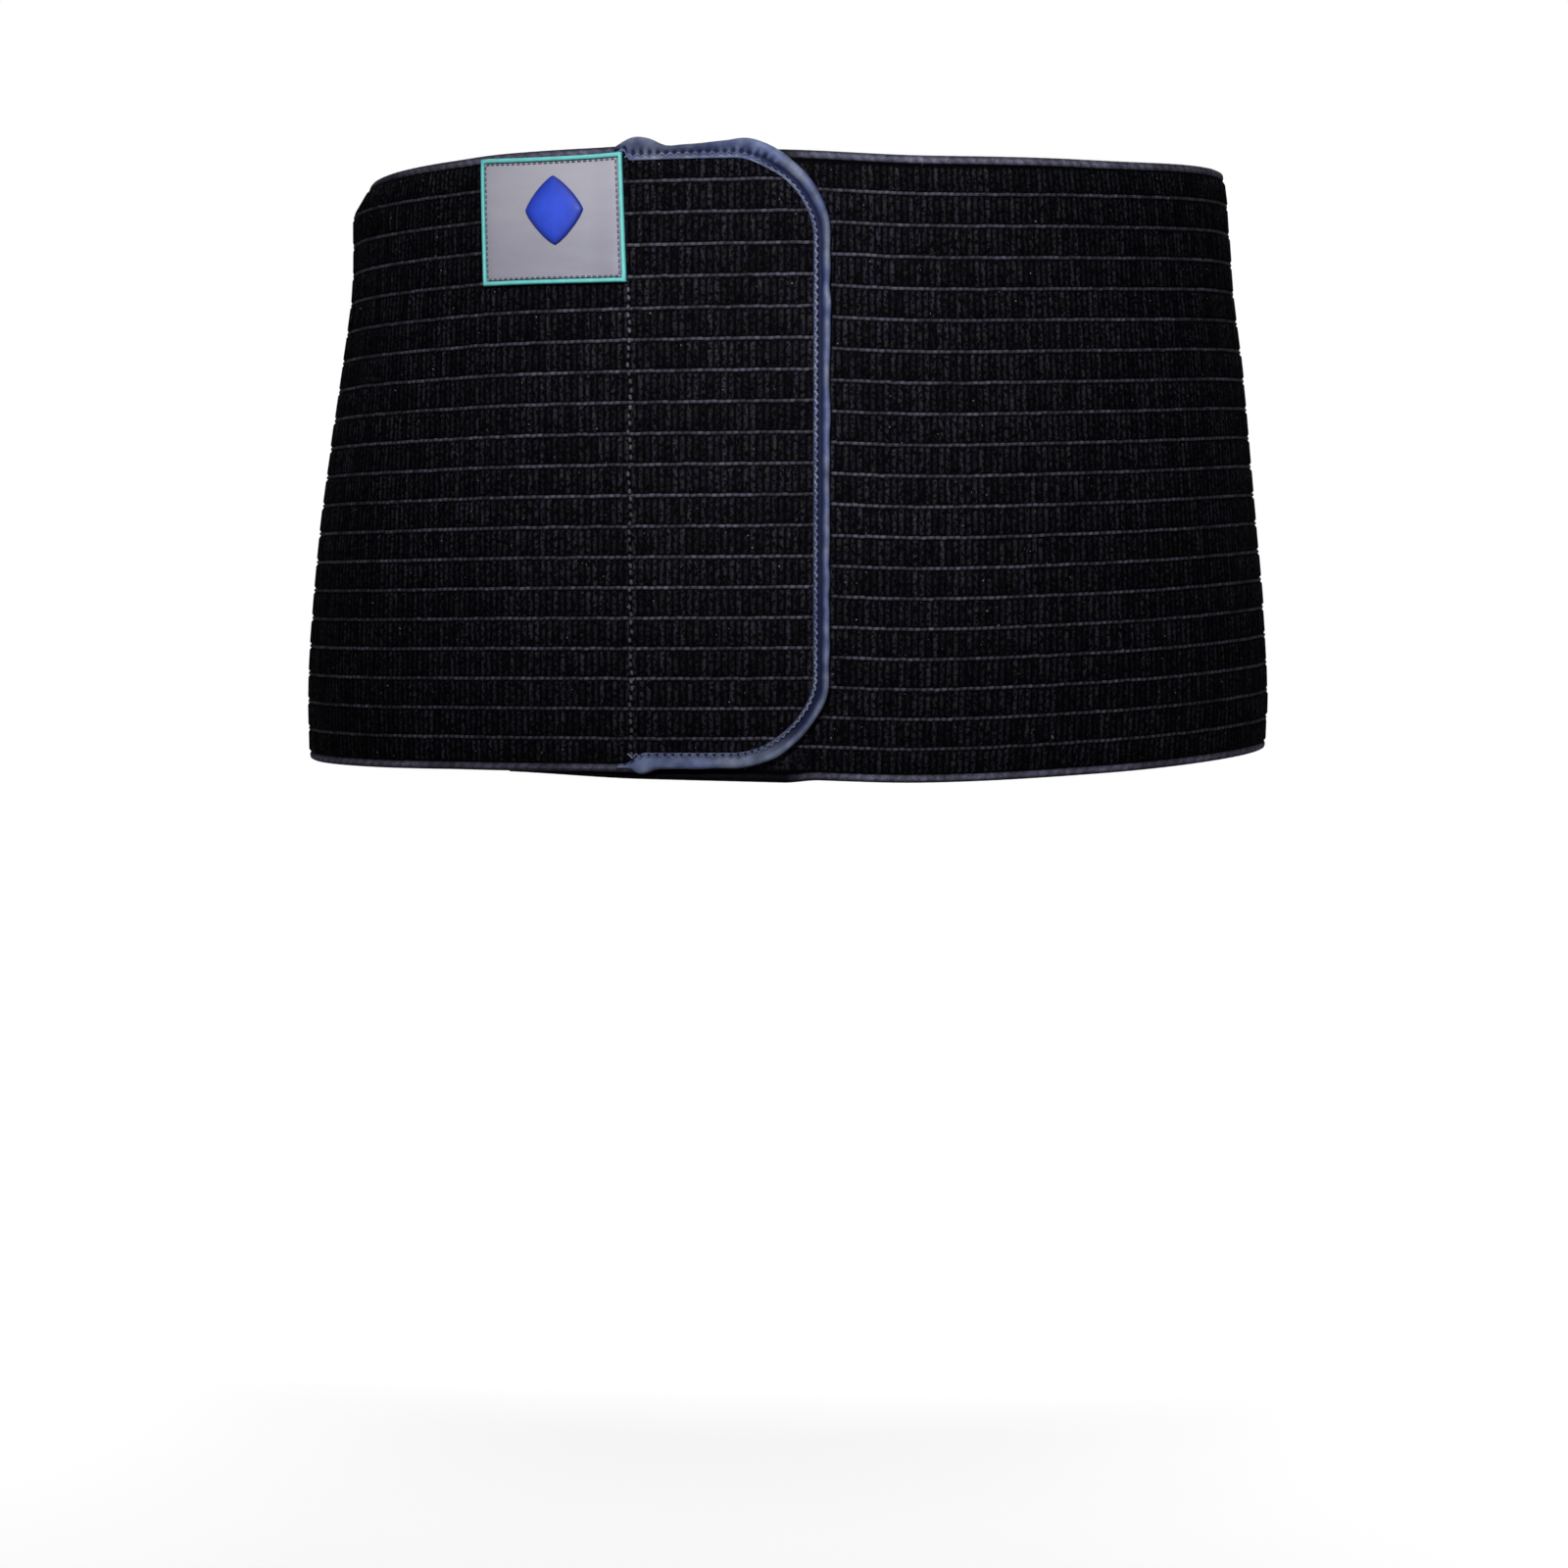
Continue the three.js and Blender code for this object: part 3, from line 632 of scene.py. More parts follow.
def make_elastic():
    """The wrap: an outer face with ribs, and a plainer inner face."""
    hidden = np.arange(UNDER_END, FLAP_END - HIDDEN_MARGIN, RIB_PITCH)
    runs, phase, rib = rib_columns(hidden[-1] + RIB_PITCH, flap_end)
    runs = np.concatenate([[UNDER_END], hidden, runs, [flap_end]])
    phase = np.concatenate([[1], np.ones(len(hidden), int), phase, [1]])
    rib = np.concatenate([[0], np.arange(len(hidden)), rib + len(hidden), [rib[-1] + len(hidden)]])
    outs, heights, bands, lights = elastic_rows()
    lumps = rng.normal(0, RIB_UNEVENNESS, (rib.max() + 1, BAND_COUNT + 1))
    valley = np.where(phase == 0, RIB_DEPTH, 0.0)
    relief = np.where(bands[None, :] >= 0, lumps[rib][:, bands] - valley[:, None], 0.0)
    out = outs[None, :] + relief
    out[[0, -1]] = 0.0
    reach = flap_reach(runs)[:, None]
    height = np.clip(heights[None, :], lower_trim(runs)[:, None] - reach, reach)
    run = np.broadcast_to(runs[:, None], height.shape)
    outer = on_cloth(run, height, out)
    faces = grid_faces(*height.shape)

    inner_runs = np.linspace(UNDER_END, flap_end, INNER_COLUMNS)[:, None]
    inner_reach = flap_reach(inner_runs) - 0.2
    inner_heights = np.clip(heights[None, 2:-2], lower_trim(inner_runs) - inner_reach, inner_reach)
    inner_run = np.broadcast_to(inner_runs, inner_heights.shape)
    inner_out = np.where(bands[None, 2:-2] < 0, INNER_GROOVE, 0.0) + 0 * inner_run
    inner_out[:, [0, -1]] = 0.0
    inner = on_cloth(inner_run, inner_heights, inner_out)
    inner_start = outer.shape[0] * outer.shape[1]
    faces += grid_faces(*inner_heights.shape, start=inner_start, flip=True)

    points = np.concatenate([outer.reshape(-1, 3), inner.reshape(-1, 3)])
    piece = make_mesh("ribbed_elastic", points, faces)
    places = [flat_places(run, height, out), flat_places(inner_run, inner_heights, inner_out)]
    # Painted shade: a random tone for each rib times the rows' painted shade, black in the rib valleys;
    # the inner face's grooves are painted dark.
    shade = rng.uniform(0.4, 1, (rib.max() + 1, BAND_COUNT + 1))[rib][:, bands] * lights
    shade = np.where(phase[:, None] == 0, 0.0, shade)
    inner_shade = np.where(inner_out > 0, 0.1, 0.6)
    store_look(piece, np.concatenate(places), np.concatenate([shade.ravel(), inner_shade.ravel()]))
    return dressed(piece, "ribbed_elastic", elastic_material(), "elastic_wrap")


def make_threads(material):
    """The grey threads between the bands: a stitch over each rib, and its back on the inner face."""
    runs, phase, rib = rib_columns(UNDER_END + 1, flap_end - 1)
    ribs = rib.max() + 1
    across = np.array([-0.5, -0.27, 0.27, 0.5])
    rise = np.array([-0.15, 1.0, 1.0, -0.15])
    # Painted shade across each thread: dark along its edges.
    light = np.array([0.15, 1.0, 1.0, 0.15])
    parts, places, shades = [], [], []
    for k in range(1, BAND_COUNT):
        share_up = k / BAND_COUNT
        lift = np.where(phase == 0, 0.3 + 0.2 * share_up, 1.0) * rng.uniform(0.8, 1.15, ribs)[rib]
        sway = rng.normal(0, THREAD_SWAY, ribs)[rib]
        height = groove_height(k) + sway[:, None] + THREAD_WIDTH * across
        out = WALL + THREAD_HEIGHT * np.where(rise > 0, rise * lift[:, None], rise)
        run = np.broadcast_to(runs[:, None], height.shape)
        inside = np.abs(groove_height(k)) < flap_reach(runs) - THREAD_MARGIN
        keep = int(np.nonzero(inside)[0][-1]) + 1
        run, height, out = run[:keep], height[:keep], out[:keep]
        parts.append((on_cloth(run, height, out).reshape(-1, 3), grid_faces(keep, len(across))))
        places.append(flat_places(run, height, out))
        # A random tone for each stitch, with painted shade where it dips into a rib's valley, darkest low
        # down.
        brightness = rng.uniform(0.3, 1.0, ribs)[rib]
        brightness = brightness * np.where(phase == 0, 0.05 + 0.4 * share_up, 1.0)
        shades.append((brightness[:keep, None] * light).ravel())
    inner_runs = np.arange(UNDER_END + THREAD_MARGIN, flap_end - THREAD_MARGIN, RIB_PITCH)
    for k in range(1, BAND_COUNT):
        inside = np.abs(groove_height(k)) < flap_reach(inner_runs) - THREAD_MARGIN
        keep = int(np.nonzero(inside)[0][-1]) + 1
        bead = rng.uniform(0.5, 1.0, keep)
        height = groove_height(k) + THREAD_WIDTH * np.array([[-0.4, 0.0, 0.4]]) + 0 * bead[:, None]
        out = INNER_GROOVE - np.array([[0.0, 0.42, 0.0]]) * bead[:, None]
        run = np.broadcast_to(inner_runs[:keep, None], height.shape)
        parts.append((on_cloth(run, height, out).reshape(-1, 3), grid_faces(keep, 3, flip=True)))
        places.append(flat_places(run, height, out))
        # The backs are painted dark along their edges, as shade.
        shades.append((bead[:, None] * np.array([[0.1, 0.8, 0.1]])).ravel())
    points, faces = join_parts(parts)
    piece = make_mesh("thread_lines", points, faces)
    store_look(piece, np.concatenate(places), np.concatenate(shades))
    return dressed(piece, "ribbed_elastic", material)


def make_selvages(material):
    """The corded edges at the top and bottom, over the cloth's cut edge."""
    runs, phase, rib = rib_columns(UNDER_END, stitch_line + 3)
    section = np.array([
        (WALL - 0.1, 2.5), (WALL + 0.35, 1.9), (WALL + SELVAGE_PROUD, 1.1), (WALL + 0.2, 0.25),
        (WALL / 2, -0.3), (-0.05, 0.3), (-0.1, 1.6),
    ])
    # Painted shade across each cord: lit on its outer face and dark over its edge and behind.
    lights = np.array([0.1, 0.8, 1.0, 0.35, 0.05, 0.05, 0.2])
    # The under layer's end, hidden in the flap's shadow: its cords are painted black as shadow, and the
    # lower one hangs a little lower.
    under = 1 - smoothstep(runs, UNDER_SHOWN - 8, UNDER_SHOWN + 4)
    by_label = smoothstep(runs, stitch_line - 95, stitch_line - 50)
    # Painted shade along the run: the top cord darker from about a fifth of the lap on, round the back,
    # and lighter again by the label; the bottom cord darker by the label.
    top_painted_shade = 1 - 0.5 * smoothstep(runs, LAP * 0.2, LAP * 0.3) + 0.45 * by_label - 0.9 * under
    painted_shade = {-1: 0.74 * (1 - 0.3 * by_label) * (1 - under), 1: 0.75 * top_painted_shade}
    parts, places, shades = [], [], []
    for side in (-1, 1):
        turn = np.arange(len(section)) / len(section)
        twist = np.sin(2 * math.pi * (runs[:, None] / (RIB_PITCH * CORD_TWIST) + turn[None, :]))
        out = section[:, 0] + 0.08 * twist
        height = side * (half_height - section[:, 1]) + 0 * twist
        if side > 0:
            height += SELVAGE_RISE * (smoothstep(runs, -25, -10) - smoothstep(runs, 60, 140))[:, None]
        else:
            height -= UNDER_DROP * (under * smoothstep(runs, UNDER_END, UNDER_END / 2))[:, None]
        run = np.broadcast_to(runs[:, None], out.shape)
        faces = grid_faces(*out.shape, flip=side > 0)
        parts.append((on_cloth(run, height, out).reshape(-1, 3), faces))
        places.append(flat_places(run, height, out))
        side_painted_shade = np.clip(painted_shade[side], 0.01, 1)[:, None]
        # Painted highlights along each cord's twist.
        shades.append((lights[None, :] * (0.8 + 0.2 * twist) * side_painted_shade).ravel())
    points, faces = join_parts(parts)
    piece = make_mesh("selvages", points, faces)
    store_look(piece, np.concatenate(places), np.concatenate(shades))
    return dressed(piece, "ribbed_elastic", material)


# The binding


def flap_edge(step, before=0.0):
    """Places along the flap's bound edge, and the direction from each into the cloth."""
    corner_run = flap_end - FLAP_CORNER
    corner_height = bound_half - FLAP_CORNER
    pieces = []
    top = np.arange(stitch_line - before, corner_run, step)
    pieces.append(np.stack([top, np.full_like(top, bound_half), 0 * top, 0 * top - 1], axis=-1))
    turns = math.ceil(FLAP_CORNER * math.pi / 2 / step)
    quarters = ((1, np.linspace(math.pi / 2, 0, turns, endpoint=False)),
                (-1, np.linspace(0, -math.pi / 2, turns, endpoint=False)))
    for side, angles in quarters:
        across, up = np.cos(angles), np.sin(angles)
        radius = FLAP_CORNER - (LOW_CORNER_CUT * np.sin(2 * angles) ** 2 if side < 0 else 0)
        arc = [corner_run + radius * across, side * corner_height + radius * up, -across, -up]
        pieces.append(np.stack(arc, axis=-1))
        if side == 1:
            down = np.arange(corner_height, -corner_height, -step)
            pieces.append(np.stack([0 * down + flap_end, down, 0 * down - 1, 0 * down], axis=-1))
    bottom = np.arange(corner_run, stitch_line - before, -step)
    pieces.append(np.stack([bottom, 0 * bottom - bound_half, 0 * bottom, 0 * bottom + 1], axis=-1))
    return np.concatenate(pieces)


# The tape's section: how far into the cloth, how far off its face, and its painted shade, dark in its
# groove, lit on its roll and dark at the back. It changes from the flap's top, more shaded as it faces up,
# to the upright end and to the bottom, and is hollowed in the top corner.
TAPE_TOP = np.array([
    (3.7, 0.1, 0.2), (3.68, 0.45, 0.6), (3.4, 0.7, 0.75), (2.9, 0.75, 0.7),
    (2.5, 0.65, 0.5), (2.1, 0.55, 0.32), (1.7, 0.5, 0.25), (1.2, 0.6, 0.25),
    (0.6, 0.9, 0.26), (0.0, 1.15, 0.28), (-0.6, 0.9, 0.26), (-0.95, 0.1, 0.1),
])
TAPE_UPRIGHT = np.array([
    (4.6, 0.1, 0.2), (4.58, 0.45, 0.25), (4.2, 0.6, 0.2), (3.6, 0.5, 0.1),
    (3.1, 0.25, 0.0), (2.6, 0.05, 0.0), (2.1, 0.1, 0.0), (1.6, 0.6, 0.15),
    (1.0, 1.25, 0.45), (0.3, 1.55, 0.8), (-0.5, 1.25, 0.75), (-0.98, 0.2, 0.12),
])
TAPE_CORNER = np.array([
    (4.75, 0.1, 0.2), (4.73, 0.5, 0.7), (4.5, 0.6, 0.8), (4.1, 0.4, 0.3),
    (3.8, 0.15, 0.0), (3.3, 0.0, 0.0), (2.8, 0.05, 0.0), (2.2, 0.5, 0.1),
    (1.5, 1.1, 0.5), (0.5, 1.55, 0.78), (-0.4, 1.25, 0.6), (-0.98, 0.2, 0.08),
])
TAPE_BOTTOM = np.array([
    (5.35, 0.1, 0.3), (5.3, 0.4, 0.7), (5.0, 0.55, 0.75), (4.5, 0.5, 0.75),
    (3.95, 0.5, 0.7), (3.4, 0.7, 0.85), (2.8, 1.0, 1.0), (2.2, 1.25, 1.0),
    (1.6, 1.35, 1.0), (1.0, 1.2, 0.95), (0.4, 0.8, 0.6), (0.05, 0.1, 0.08),
])
TAPE_BACK = np.array([
    (-1.05, -1.0, 0.1), (-0.95, -2.2, 0.1), (-0.4, -3.0, 0.2), (0.8, -3.25, 0.3), (5.9, -3.2, 0.4),
    (5.9, -2.75, 0.3), (0.3, -2.7, 0.1), (-0.35, -1.3, 0.0), (0.2, -0.02, 0.0), (2.4, 0.0, 0.0),
])


def edge_parts(edge):
    """How much each step of the edge belongs to the bottom, to the upright end and to the top corner."""
    low = (edge[:, 1] < 0).astype(float)
    upright = smoothstep(np.abs(edge[:, 2]), 0.1, 0.85)
    corner = np.clip(6 * edge[:, 2] ** 2 * edge[:, 3] ** 2, 0, 1) * np.where(low > 0, 0.3, 1.0)
    return low, upright, corner


def blend_parts(values, low, upright, corner):
    level = values["top"] * (1 - low) + values["bottom"] * low
    plain = level * (1 - upright) + values["upright"] * upright
    return plain * (1 - corner) + values["corner"] * corner


def puff_at(share):
    return smooth_curve(PUFF_ALONG, PUFF_SHARES, share) * TAPE_FOLD


def stitch_phase(edge, before=0.0):
    """How many zigzag stitches lie before each place along the edge."""
    gaps = np.hypot(*np.diff(edge[:, :2], axis=0).T)
    return (np.concatenate([[0], np.cumsum(gaps)]) - before) / ZIGZAG_PITCH


def dimples(phase, into, low, upright):
    """How deep each place of the tape is in a dimple between two stitches, from 0 to 1."""
    from_middle = np.abs((phase - 0.5 * low + 0.5) % 1 - 0.5) * ZIGZAG_PITCH
    centre = DIMPLE_TOP * (1 - low) + DIMPLE_BOTTOM * low
    size = DIMPLE_SIZE * (1 - 0.2 * low)
    distance = np.hypot(from_middle[:, None], into - centre[:, None]) / size[:, None]
    return (1 - smoothstep(distance, 0.6, 1.15)) * (1 - smoothstep(upright, 0.2, 0.9))[:, None]


def make_binding():
    """The tape: a front face that is worked between the stitches, and a plain back."""
    edge = flap_edge(TAPE_STEP, TAPE_TAIL)
    share = np.linspace(0, 1, len(edge))
    low, upright, corner = [part[:, None, None] for part in edge_parts(edge)]
    level = TAPE_TOP * (1 - low) + TAPE_BOTTOM * low
    face = level * (1 - upright) + TAPE_UPRIGHT * upright
    face = face * (1 - corner) + TAPE_CORNER * corner
    raise_edge = np.where(TAPE_BACK[:, 0] < 1, TAPE_RAISE, 0)[:, None] * np.array([1, 0, 0])
    back = TAPE_BACK + raise_edge * low * (1 - upright)
    section = np.concatenate([face, back], axis=1)
    into, out, shade = section[..., 0].copy(), crest + section[..., 1], section[..., 2].copy()
    on_face = np.arange(section.shape[1]) < len(TAPE_TOP)
    dimple = dimples(stitch_phase(edge, TAPE_TAIL), into, low[:, 0, 0], upright[:, 0, 0]) * on_face
    out -= DIMPLE_DEPTH * dimple
    # Painted shade in the dimples between the stitches, which are also sunk.
    shade *= 1 - 0.95 * dimple
    ripple, pucker = [
        smooth_curve(np.linspace(0, 1, count), rng.normal(0, size, count), share)
        for count, size in ((RIPPLE_COUNT, RIPPLE_SIZE), (PUCKER_COUNT, PUCKER_SIZE))
    ]
    past_end = np.where(edge[:, 3] < 0, smoothstep(edge[:, 0], stitch_line - 0.3, stitch_line + 1.5),
                        smoothstep(edge[:, 0], stitch_line - 1.5, stitch_line + 6))
    tuck = TAPE_TUCK + (1 - TAPE_TUCK) * past_end
    into = np.where(into > 0, into * tuck[:, None], into)
    proud = np.clip((1.5 - into) / 1.5, 0, 1)
    into -= proud * (puff_at(share) + ripple)[:, None]
    out += np.where(on_face, proud * (0.35 * puff_at(share) + ripple + pucker)[:, None], 0)
    # The shade rises and falls with the puckers, and the puffs are painted lighter, as painted light.
    shade *= 1 - 0.25 * np.clip(pucker * 8, -1, 1)[:, None]
    shade *= 1 + 0.9 * np.clip(puff_at(share) - 0.4, 0, 1.4)[:, None]
    run = edge[:, 0:1] + edge[:, 2:3] * into
    height = edge[:, 1:2] + edge[:, 3:4] * into
    points = place(run, height, standoff_at(edge[:, 0:1]) + out)
    faces = grid_faces(*into.shape, looped=True)
    columns = into.shape[1]
    faces.append(list(range(columns))[::-1])
    faces.append([(len(edge) - 1) * columns + j for j in range(columns)])
    piece = make_mesh("edge_tape", points, faces)
    along = np.broadcast_to(share[:, None] * TAPE_LENGTH, into.shape)
    store_look(piece, flat_places(along, into, out), np.clip(shade, 0, 1))
    return dressed(piece, "binding_tape", tape_material(), "edge_binding")


def make_binding_seam(material):
    """The zigzag seam over the tape's inner edge."""
    edge = flap_edge(ZIGZAG_STEP)
    low, upright, corner = edge_parts(edge)
    inner = blend_parts(ZIGZAG_INNER, low, upright, corner)
    outer = blend_parts(ZIGZAG_OUTER, low, upright, corner)
    phase = stitch_phase(edge)
    swing = np.abs(2 * (phase % 1) - 1)
    into = outer + (inner - outer) * swing
    over = crest + ZIGZAG_LIFT + 0.12 * np.sin(phase * 4 * math.pi)
    run = edge[:, 0] + edge[:, 2] * into
    height = edge[:, 1] + edge[:, 3] * into
    path = place(run, height, standoff_at(edge[:, 0]) + over)
    radius = ZIGZAG_THREAD / 2 * (1.1 + 0.4 * upright - 0.5 * corner - 0.15 * low) * (1.1 - 0.2 * swing)
    points, faces = tube(path, radius)
    piece = make_mesh("binding_seam", points, faces)
    # Painted shade: the thread darker along the top than at the bottom, the upright end and the corner,
    # with painted highlights along its twist.
    twist = 0.85 + 0.15 * np.sin(phase * 4 * math.pi + 1)
    shade = (0.6 + 0.4 * np.maximum(np.maximum(upright, corner), 0.6 * low)) * twist
    store_look(piece, points, np.repeat(shade, TUBE_SIDES))
    return dressed(piece, "binding_tape", material)


def make_hook_seam(material):
    """The upright seam of slanted stitches that holds the hook panel."""
    low, high = SEAM_FOOT - bound_half, half_height - LABEL_DROP - LABEL_HEIGHT - 0.5
    parts, shades = [], []
    for i, centre in enumerate(np.arange(low, high, SEAM_PITCH)):
        lean = SEAM_REACH * (0.8 if i % 2 else 0.3) + rng.normal(0, 0.1)
        sway = 0.25 * math.sin(i * 0.9) + rng.normal(0, 0.22)
        t = np.linspace(-0.5, 0.5, 9)
        arch = np.sqrt(np.clip(1 - (2 * t) ** 2, 0, 1))
        height = centre + rng.normal(0, 0.2) + SEAM_PITCH * SEAM_STITCH * t
        run = stitch_line + SEAM_SHIFT + sway - lean * t
        path = on_cloth(run, height, crest - 0.1 + 0.5 * arch)
        points, faces = tube(path, SEAM_THREAD / 2 * (0.35 + 0.65 * arch))
        parts.append((points, faces))
        # Painted shade: each stitch lit at its raised middle and dark at its sunk ends, times a random
        # tone.
        shades.append(np.repeat(arch, TUBE_SIDES) * rng.uniform(0.4, 1.0))
    points, faces = join_parts(parts)
    piece = make_mesh("hook_seam", points, faces)
    store_look(piece, points, np.concatenate(shades))
    return dressed(piece, "hook_tape", material)


def hook_material():
    """Black hook tape with a thicket of small stiff hooks."""
    material, nodes, links, shader = new_material("hook tape")
    cloth = stored_value(nodes, "cloth", "Vector")
    loops = noise(nodes, links, cloth, 0.7)
    links.new(mixed(nodes, links, linear(6, 6, 8), linear(40, 40, 44), loops), shader.inputs["Base Color"])
    shader.inputs["Roughness"].default_value = 0.7
    shader.inputs["Specular IOR Level"].default_value = 0.15
    bumped(nodes, links, shader, loops, 0.4)
    return material


def make_hook_tape():
    """The hook tape behind the flap, with its hooks towards the body."""
    inset = TAPE_WIDTH + HOOK_MARGIN
    corner = FLAP_CORNER - inset
    start, end = stitch_line + HOOK_MARGIN, flap_end - inset
    runs = np.linspace(start, end, HOOK_COLUMNS)[:, None]
    past = np.clip(runs - (end - corner), 0, corner)
    reach = bound_half - inset - corner + np.sqrt(corner**2 - past**2)
    height = np.linspace(-1, 1, HOOK_ROWS)[None, :] * reach
    run = np.broadcast_to(runs, height.shape)
    column, row = np.indices(height.shape)
    border = (column == 0) | (column == HOOK_COLUMNS - 1) | (row == 0) | (row == HOOK_ROWS - 1)
    front_out = np.where(border, -HOOK_WALL / 2, 0.0) - LAYER_GAP / 2
    back_out = np.where(border, -HOOK_WALL / 2, -HOOK_WALL) - LAYER_GAP / 2
    front, back = on_cloth(run, height, front_out), on_cloth(run, height, back_out)
    faces = grid_faces(*height.shape)
    faces += grid_faces(*height.shape, start=height.size, flip=True)
    piece = make_mesh("hook_tape", np.concatenate([front.reshape(-1, 3), back.reshape(-1, 3)]), faces)
    places = [flat_places(run, height, out) for out in (front_out, back_out)]
    add_values(piece, "cloth", np.concatenate(places) * MM, "FLOAT_VECTOR")
    return dressed(piece, "hook_tape", hook_material(), "hook_panel")


# The label

label_run = stitch_line - LABEL_WIDTH / 2
label_height = half_height - LABEL_DROP - LABEL_HEIGHT / 2


def on_label(across, up, out):
    """A place on the label, whose top edge sags a little in the middle."""
    across, up, out = np.broadcast_arrays(np.asarray(across, float), up, out)
    up = up - LABEL_SAG * (1 - (2 * across / LABEL_WIDTH) ** 2) * (up / LABEL_HEIGHT + 0.5)
    run = label_run + across * math.cos(LABEL_SLOPE) - up * math.sin(LABEL_LEAN)
    height = label_height + across * math.sin(LABEL_SLOPE) + up * math.cos(LABEL_LEAN)
    return place(run, height, standoff_at(run) + crest + LAYER_GAP + out)


def make_label_cloth():
    """The label's cloth, which waves a little and sinks along its seam."""
    half_wide = LABEL_WIDTH / 2 - LABEL_BORDER + 0.15
    half_tall = LABEL_HEIGHT / 2 - LABEL_BORDER + 0.15
    columns = np.linspace(-half_wide, half_wide, 64)
    rows = np.linspace(-half_tall, half_tall, 54)
    across, up = np.meshgrid(columns, rows, indexing="ij")
    edge = np.minimum(half_wide - np.abs(across), half_tall - np.abs(up))
    waves = 0.07 * np.sin(across / 7.1 + up / 11) + 0.05 * np.sin(up / 5.3 - across / 9 + 1.2)
    sink = 0.12 * np.exp(-((edge - 0.6) / 0.6) ** 2)
    front = on_label(across, up, LABEL_WALL + waves * np.clip(edge / 3, 0, 1) - sink)
    back = on_label(across, up, 0.05)
    count = across.size
    faces = grid_faces(*across.shape)
    faces += grid_faces(*across.shape, start=count, flip=True)
    points = np.concatenate([front.reshape(-1, 3), back.reshape(-1, 3)])
    piece = make_mesh("label_cloth", points, faces)
    places = flat_places(across, up, 0 * up)
    # Painted light: the label is lighter towards its top.
    light = (0.15 + 0.65 * smoothstep(up, -half_tall, half_tall)).ravel()
    store_look(piece, np.concatenate([places, places]), np.concatenate([light, light]))
    return dressed(piece, "label_satin", satin_material(), "label_plate")


def make_label_rim(material):
    """The raised rim: a rounded section round the label's four sides."""
    section = [(0.0, 0.0), (0.0, 1.2), (0.25, 1.7), (0.7, 1.85),
               (1.1, 1.75), (1.4, 1.45), (1.55, 0.9), (1.55, 0.0)]
    rings = []
    corners = [(-1, -1), (1, -1), (1, 1), (-1, 1)]
    for i, start in enumerate(corners):
        end = corners[(i + 1) % 4]
        for t in np.linspace(0, 1, 24, endpoint=False):
            sx = start[0] + (end[0] - start[0]) * t
            sy = start[1] + (end[1] - start[1]) * t
            rings.append(np.array([
                on_label(sx * (LABEL_WIDTH / 2 - inset), sy * (LABEL_HEIGHT / 2 - inset), out)
                for inset, out in section
            ]))
    points = np.concatenate(rings)
    size = len(section)
    faces = grid_faces(len(rings), size, looped=True)
    last = (len(rings) - 1) * size
    faces += [[last + j, last + (j + 1) % size, (j + 1) % size, j] for j in range(size)]
    piece = make_mesh("label_rim", points, faces)
    # Painted shade: the rim lit along its top and dark down its sides.
    lights = [0.1, 0.4, 0.8, 1.0, 1.0, 0.7, 0.2, 0.1]
    store_look(piece, points, np.tile(lights, len(rings)))
    return dressed(piece, "label_rim", material, "label_border")


def make_label_stitches(material):
    """The dark stitches just inside the rim."""
    half_wide = LABEL_WIDTH / 2 - LABEL_BORDER - 0.2
    half_tall = LABEL_HEIGHT / 2 - LABEL_BORDER - 0.2
    parts = []
    for level, fixed in ((True, half_tall), (True, -half_tall), (False, half_wide), (False, -half_wide)):
        reach = half_wide if level else half_tall
        count = round(2 * reach / LABEL_STITCH)
        for centre in np.linspace(-reach, reach, count + 1)[:-1] + reach / count:
            t = np.linspace(-0.5, 0.5, 5)
            along = centre + t * LABEL_STITCH * 0.5
            arch = LABEL_WALL - 0.2 + 0.3 * np.sqrt(np.clip(1 - (2 * t) ** 2, 0, 1))
            across, up = (along, fixed) if level else (fixed, along)
            parts.append(tube(on_label(across, up, arch), 0.3))
    points, faces = join_parts(parts)
    piece = make_mesh("label_stitches", points, faces)
    store_look(piece, points, np.ones(len(points)))
    return dressed(piece, "label_satin", material)


def make_emblem(material):
    """A plain lozenge with soft corners and a puffed face."""
    turn = np.linspace(0, 2 * math.pi, EMBLEM_SIDES, endpoint=False)
    power = EMBLEM_ROUNDNESS
    soft = (np.abs(np.cos(turn)) ** power + np.abs(np.sin(turn)) ** power) ** (-1 / power)
    across = soft * np.cos(turn) * EMBLEM_WIDTH / 2
    up = soft * np.sin(turn) * EMBLEM_HEIGHT / 2
    base = LABEL_WALL + LABEL_GAP - 0.35
    layers = [(0.99, 0.0), (1.0, 0.25), (0.985, 0.6), (0.95, 0.95), (0.88, 1.25), (0.76, 1.5), (0.6, 1.68),
              (0.38, 1.8), (0.15, 1.85)]
    rings = [
        on_label(EMBLEM_SHIFT + across * size, EMBLEM_LIFT + up * size, base + out)
        for size, out in layers
    ]
    faces = grid_faces(len(layers), EMBLEM_SIDES, looped=True)
    faces.append([EMBLEM_SIDES * (len(layers) - 1) + j for j in range(EMBLEM_SIDES)])
    faces.append(list(range(EMBLEM_SIDES))[::-1])
    points = np.concatenate(rings)
    piece = make_mesh("emblem", points, faces)
    # Painted shade: the puffed face lit on top and dark down its sloping sides.
    lights = [0.0, 0.0, 0.1, 0.3, 0.5, 0.7, 0.85, 1.0, 1.0]
    store_look(piece, points, np.repeat(lights, EMBLEM_SIDES))
    return dressed(piece, "emblem_rubber", material, "label_emblem")


# The belt

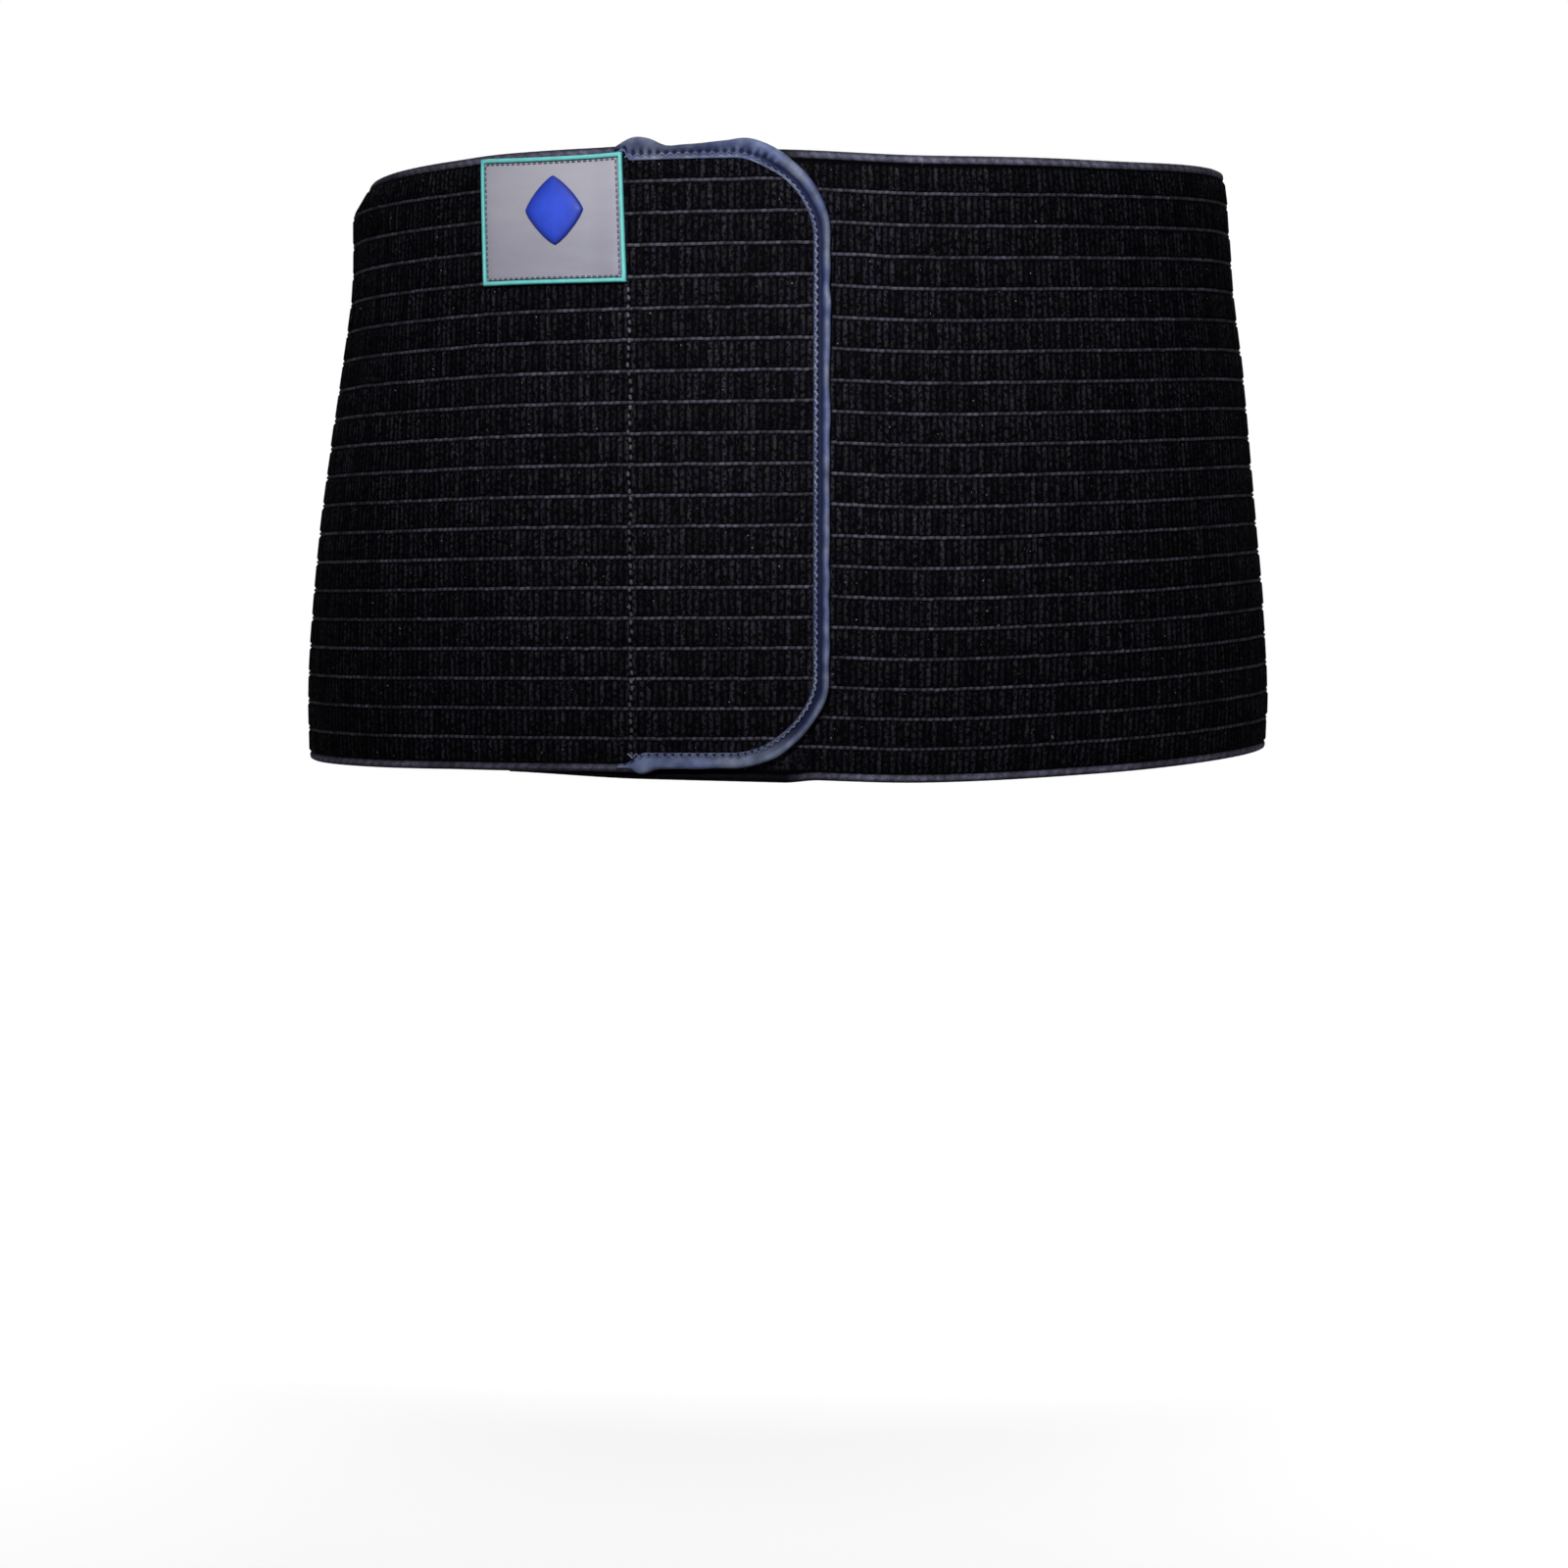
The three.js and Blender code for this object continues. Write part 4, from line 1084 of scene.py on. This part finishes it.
elastic = make_elastic()
threads = make_threads(thread_material("grey thread", linear(4, 4, 9), linear(94, 91, 107)))
selvages = make_selvages(thread_material("selvage", linear(5, 5, 9), linear(144, 144, 172), 0.04))
binding = make_binding()
seam_thread = thread_material("seam thread", linear(40, 52, 92), linear(142, 148, 166))
binding_seam = make_binding_seam(seam_thread)
hook_tape = make_hook_tape()
hook_seam = make_hook_seam(thread_material("hook seam thread", linear(14, 13, 18), linear(106, 105, 114)))
label_cloth = make_label_cloth()
label_rim = make_label_rim(
    plain_material("label rim", linear(32, 100, 104), linear(116, 210, 208), 0.45, 0.3, 3.0, 0.03))
label_stitches = make_label_stitches(
    thread_material("label thread", linear(84, 82, 94), linear(112, 110, 122)))
emblem = make_emblem(
    plain_material("emblem rubber", linear(14, 28, 116), linear(52, 82, 216), 0.5, 0.3, 4.0, 0.02))

# The floor, the light and the camera

floor_z = cad_box[0][2] - FLOOR_DROP
bpy.ops.mesh.primitive_circle_add(
    vertices=96, radius=FLOOR_RADIUS, fill_type="NGON", location=(0, 0, floor_z))
floor = bpy.context.object
floor.name = "floor"
floor_material, floor_nodes, floor_links, floor_shader = new_material("floor")
floor_shader.inputs["Base Color"].default_value = (0.5, 0.5, 0.5, 1)
floor_shader.inputs["Roughness"].default_value = 0.9
floor_shader.inputs["Emission Color"].default_value = (1, 1, 1, 1)
floor_seen = floor_nodes.new("ShaderNodeLightPath").outputs["Is Camera Ray"]
floor_links.new(ranged(floor_nodes, floor_links, floor_seen, 0, 1, 0, FLOOR_GLOW),
                floor_shader.inputs["Emission Strength"])
floor.data.materials.append(floor_material)

# The surround is white to look at, and lights the belt softly.
world = bpy.data.worlds.new("surround")
bpy.context.scene.world = world
world.use_nodes = True
world_nodes = world.node_tree.nodes
world_links = world.node_tree.links
surround = world_nodes["Background"]
surround.inputs["Color"].default_value = (1, 1, 1, 1)
surround_seen = world_nodes.new("ShaderNodeLightPath").outputs["Is Camera Ray"]
world_links.new(ranged(world_nodes, world_links, surround_seen, 0, 1, SURROUND_LIGHT, 1),
                surround.inputs["Strength"])
bpy.context.scene.view_settings.view_transform = "Standard"


def facing(spot):
    """The turn that faces a light at this spot to the belt's middle."""
    return math.atan2(math.hypot(spot[0], spot[1]), spot[2]), 0, math.atan2(spot[0], -spot[1])


def soft_light(name, spot, size, power):
    """A square soft light that faces the belt's middle."""
    data = bpy.data.lights.new(name, "AREA")
    data.size = size
    data.energy = power
    light = bpy.data.objects.new(name, data)
    light.location = spot
    light.rotation_euler = facing(spot)
    bpy.context.scene.collection.objects.link(light)


key_data = bpy.data.lights.new("key", "SPOT")
key_data.energy = KEY_POWER
key_data.spot_size = KEY_CONE
key_data.spot_blend = 1.0
key_data.shadow_soft_size = KEY_RADIUS
key = bpy.data.objects.new("key", key_data)
key.location = KEY_PLACE
key.rotation_euler = facing(KEY_PLACE)
bpy.context.scene.collection.objects.link(key)
soft_light("fill", *FILL_LIGHT)
soft_light("back", *BACK_LIGHT)
soft_light("top", *TOP_LIGHT)

camera_data = bpy.data.cameras.new("camera")
camera_data.lens = CAMERA_LENS
camera_data.sensor_width = 36
camera = bpy.data.objects.new("camera", camera_data)
camera.location = CAMERA_PLACE
camera.rotation_euler = (math.pi / 2 - CAMERA_PITCH, 0, 0)
bpy.context.scene.collection.objects.link(camera)
bpy.context.scene.camera = camera
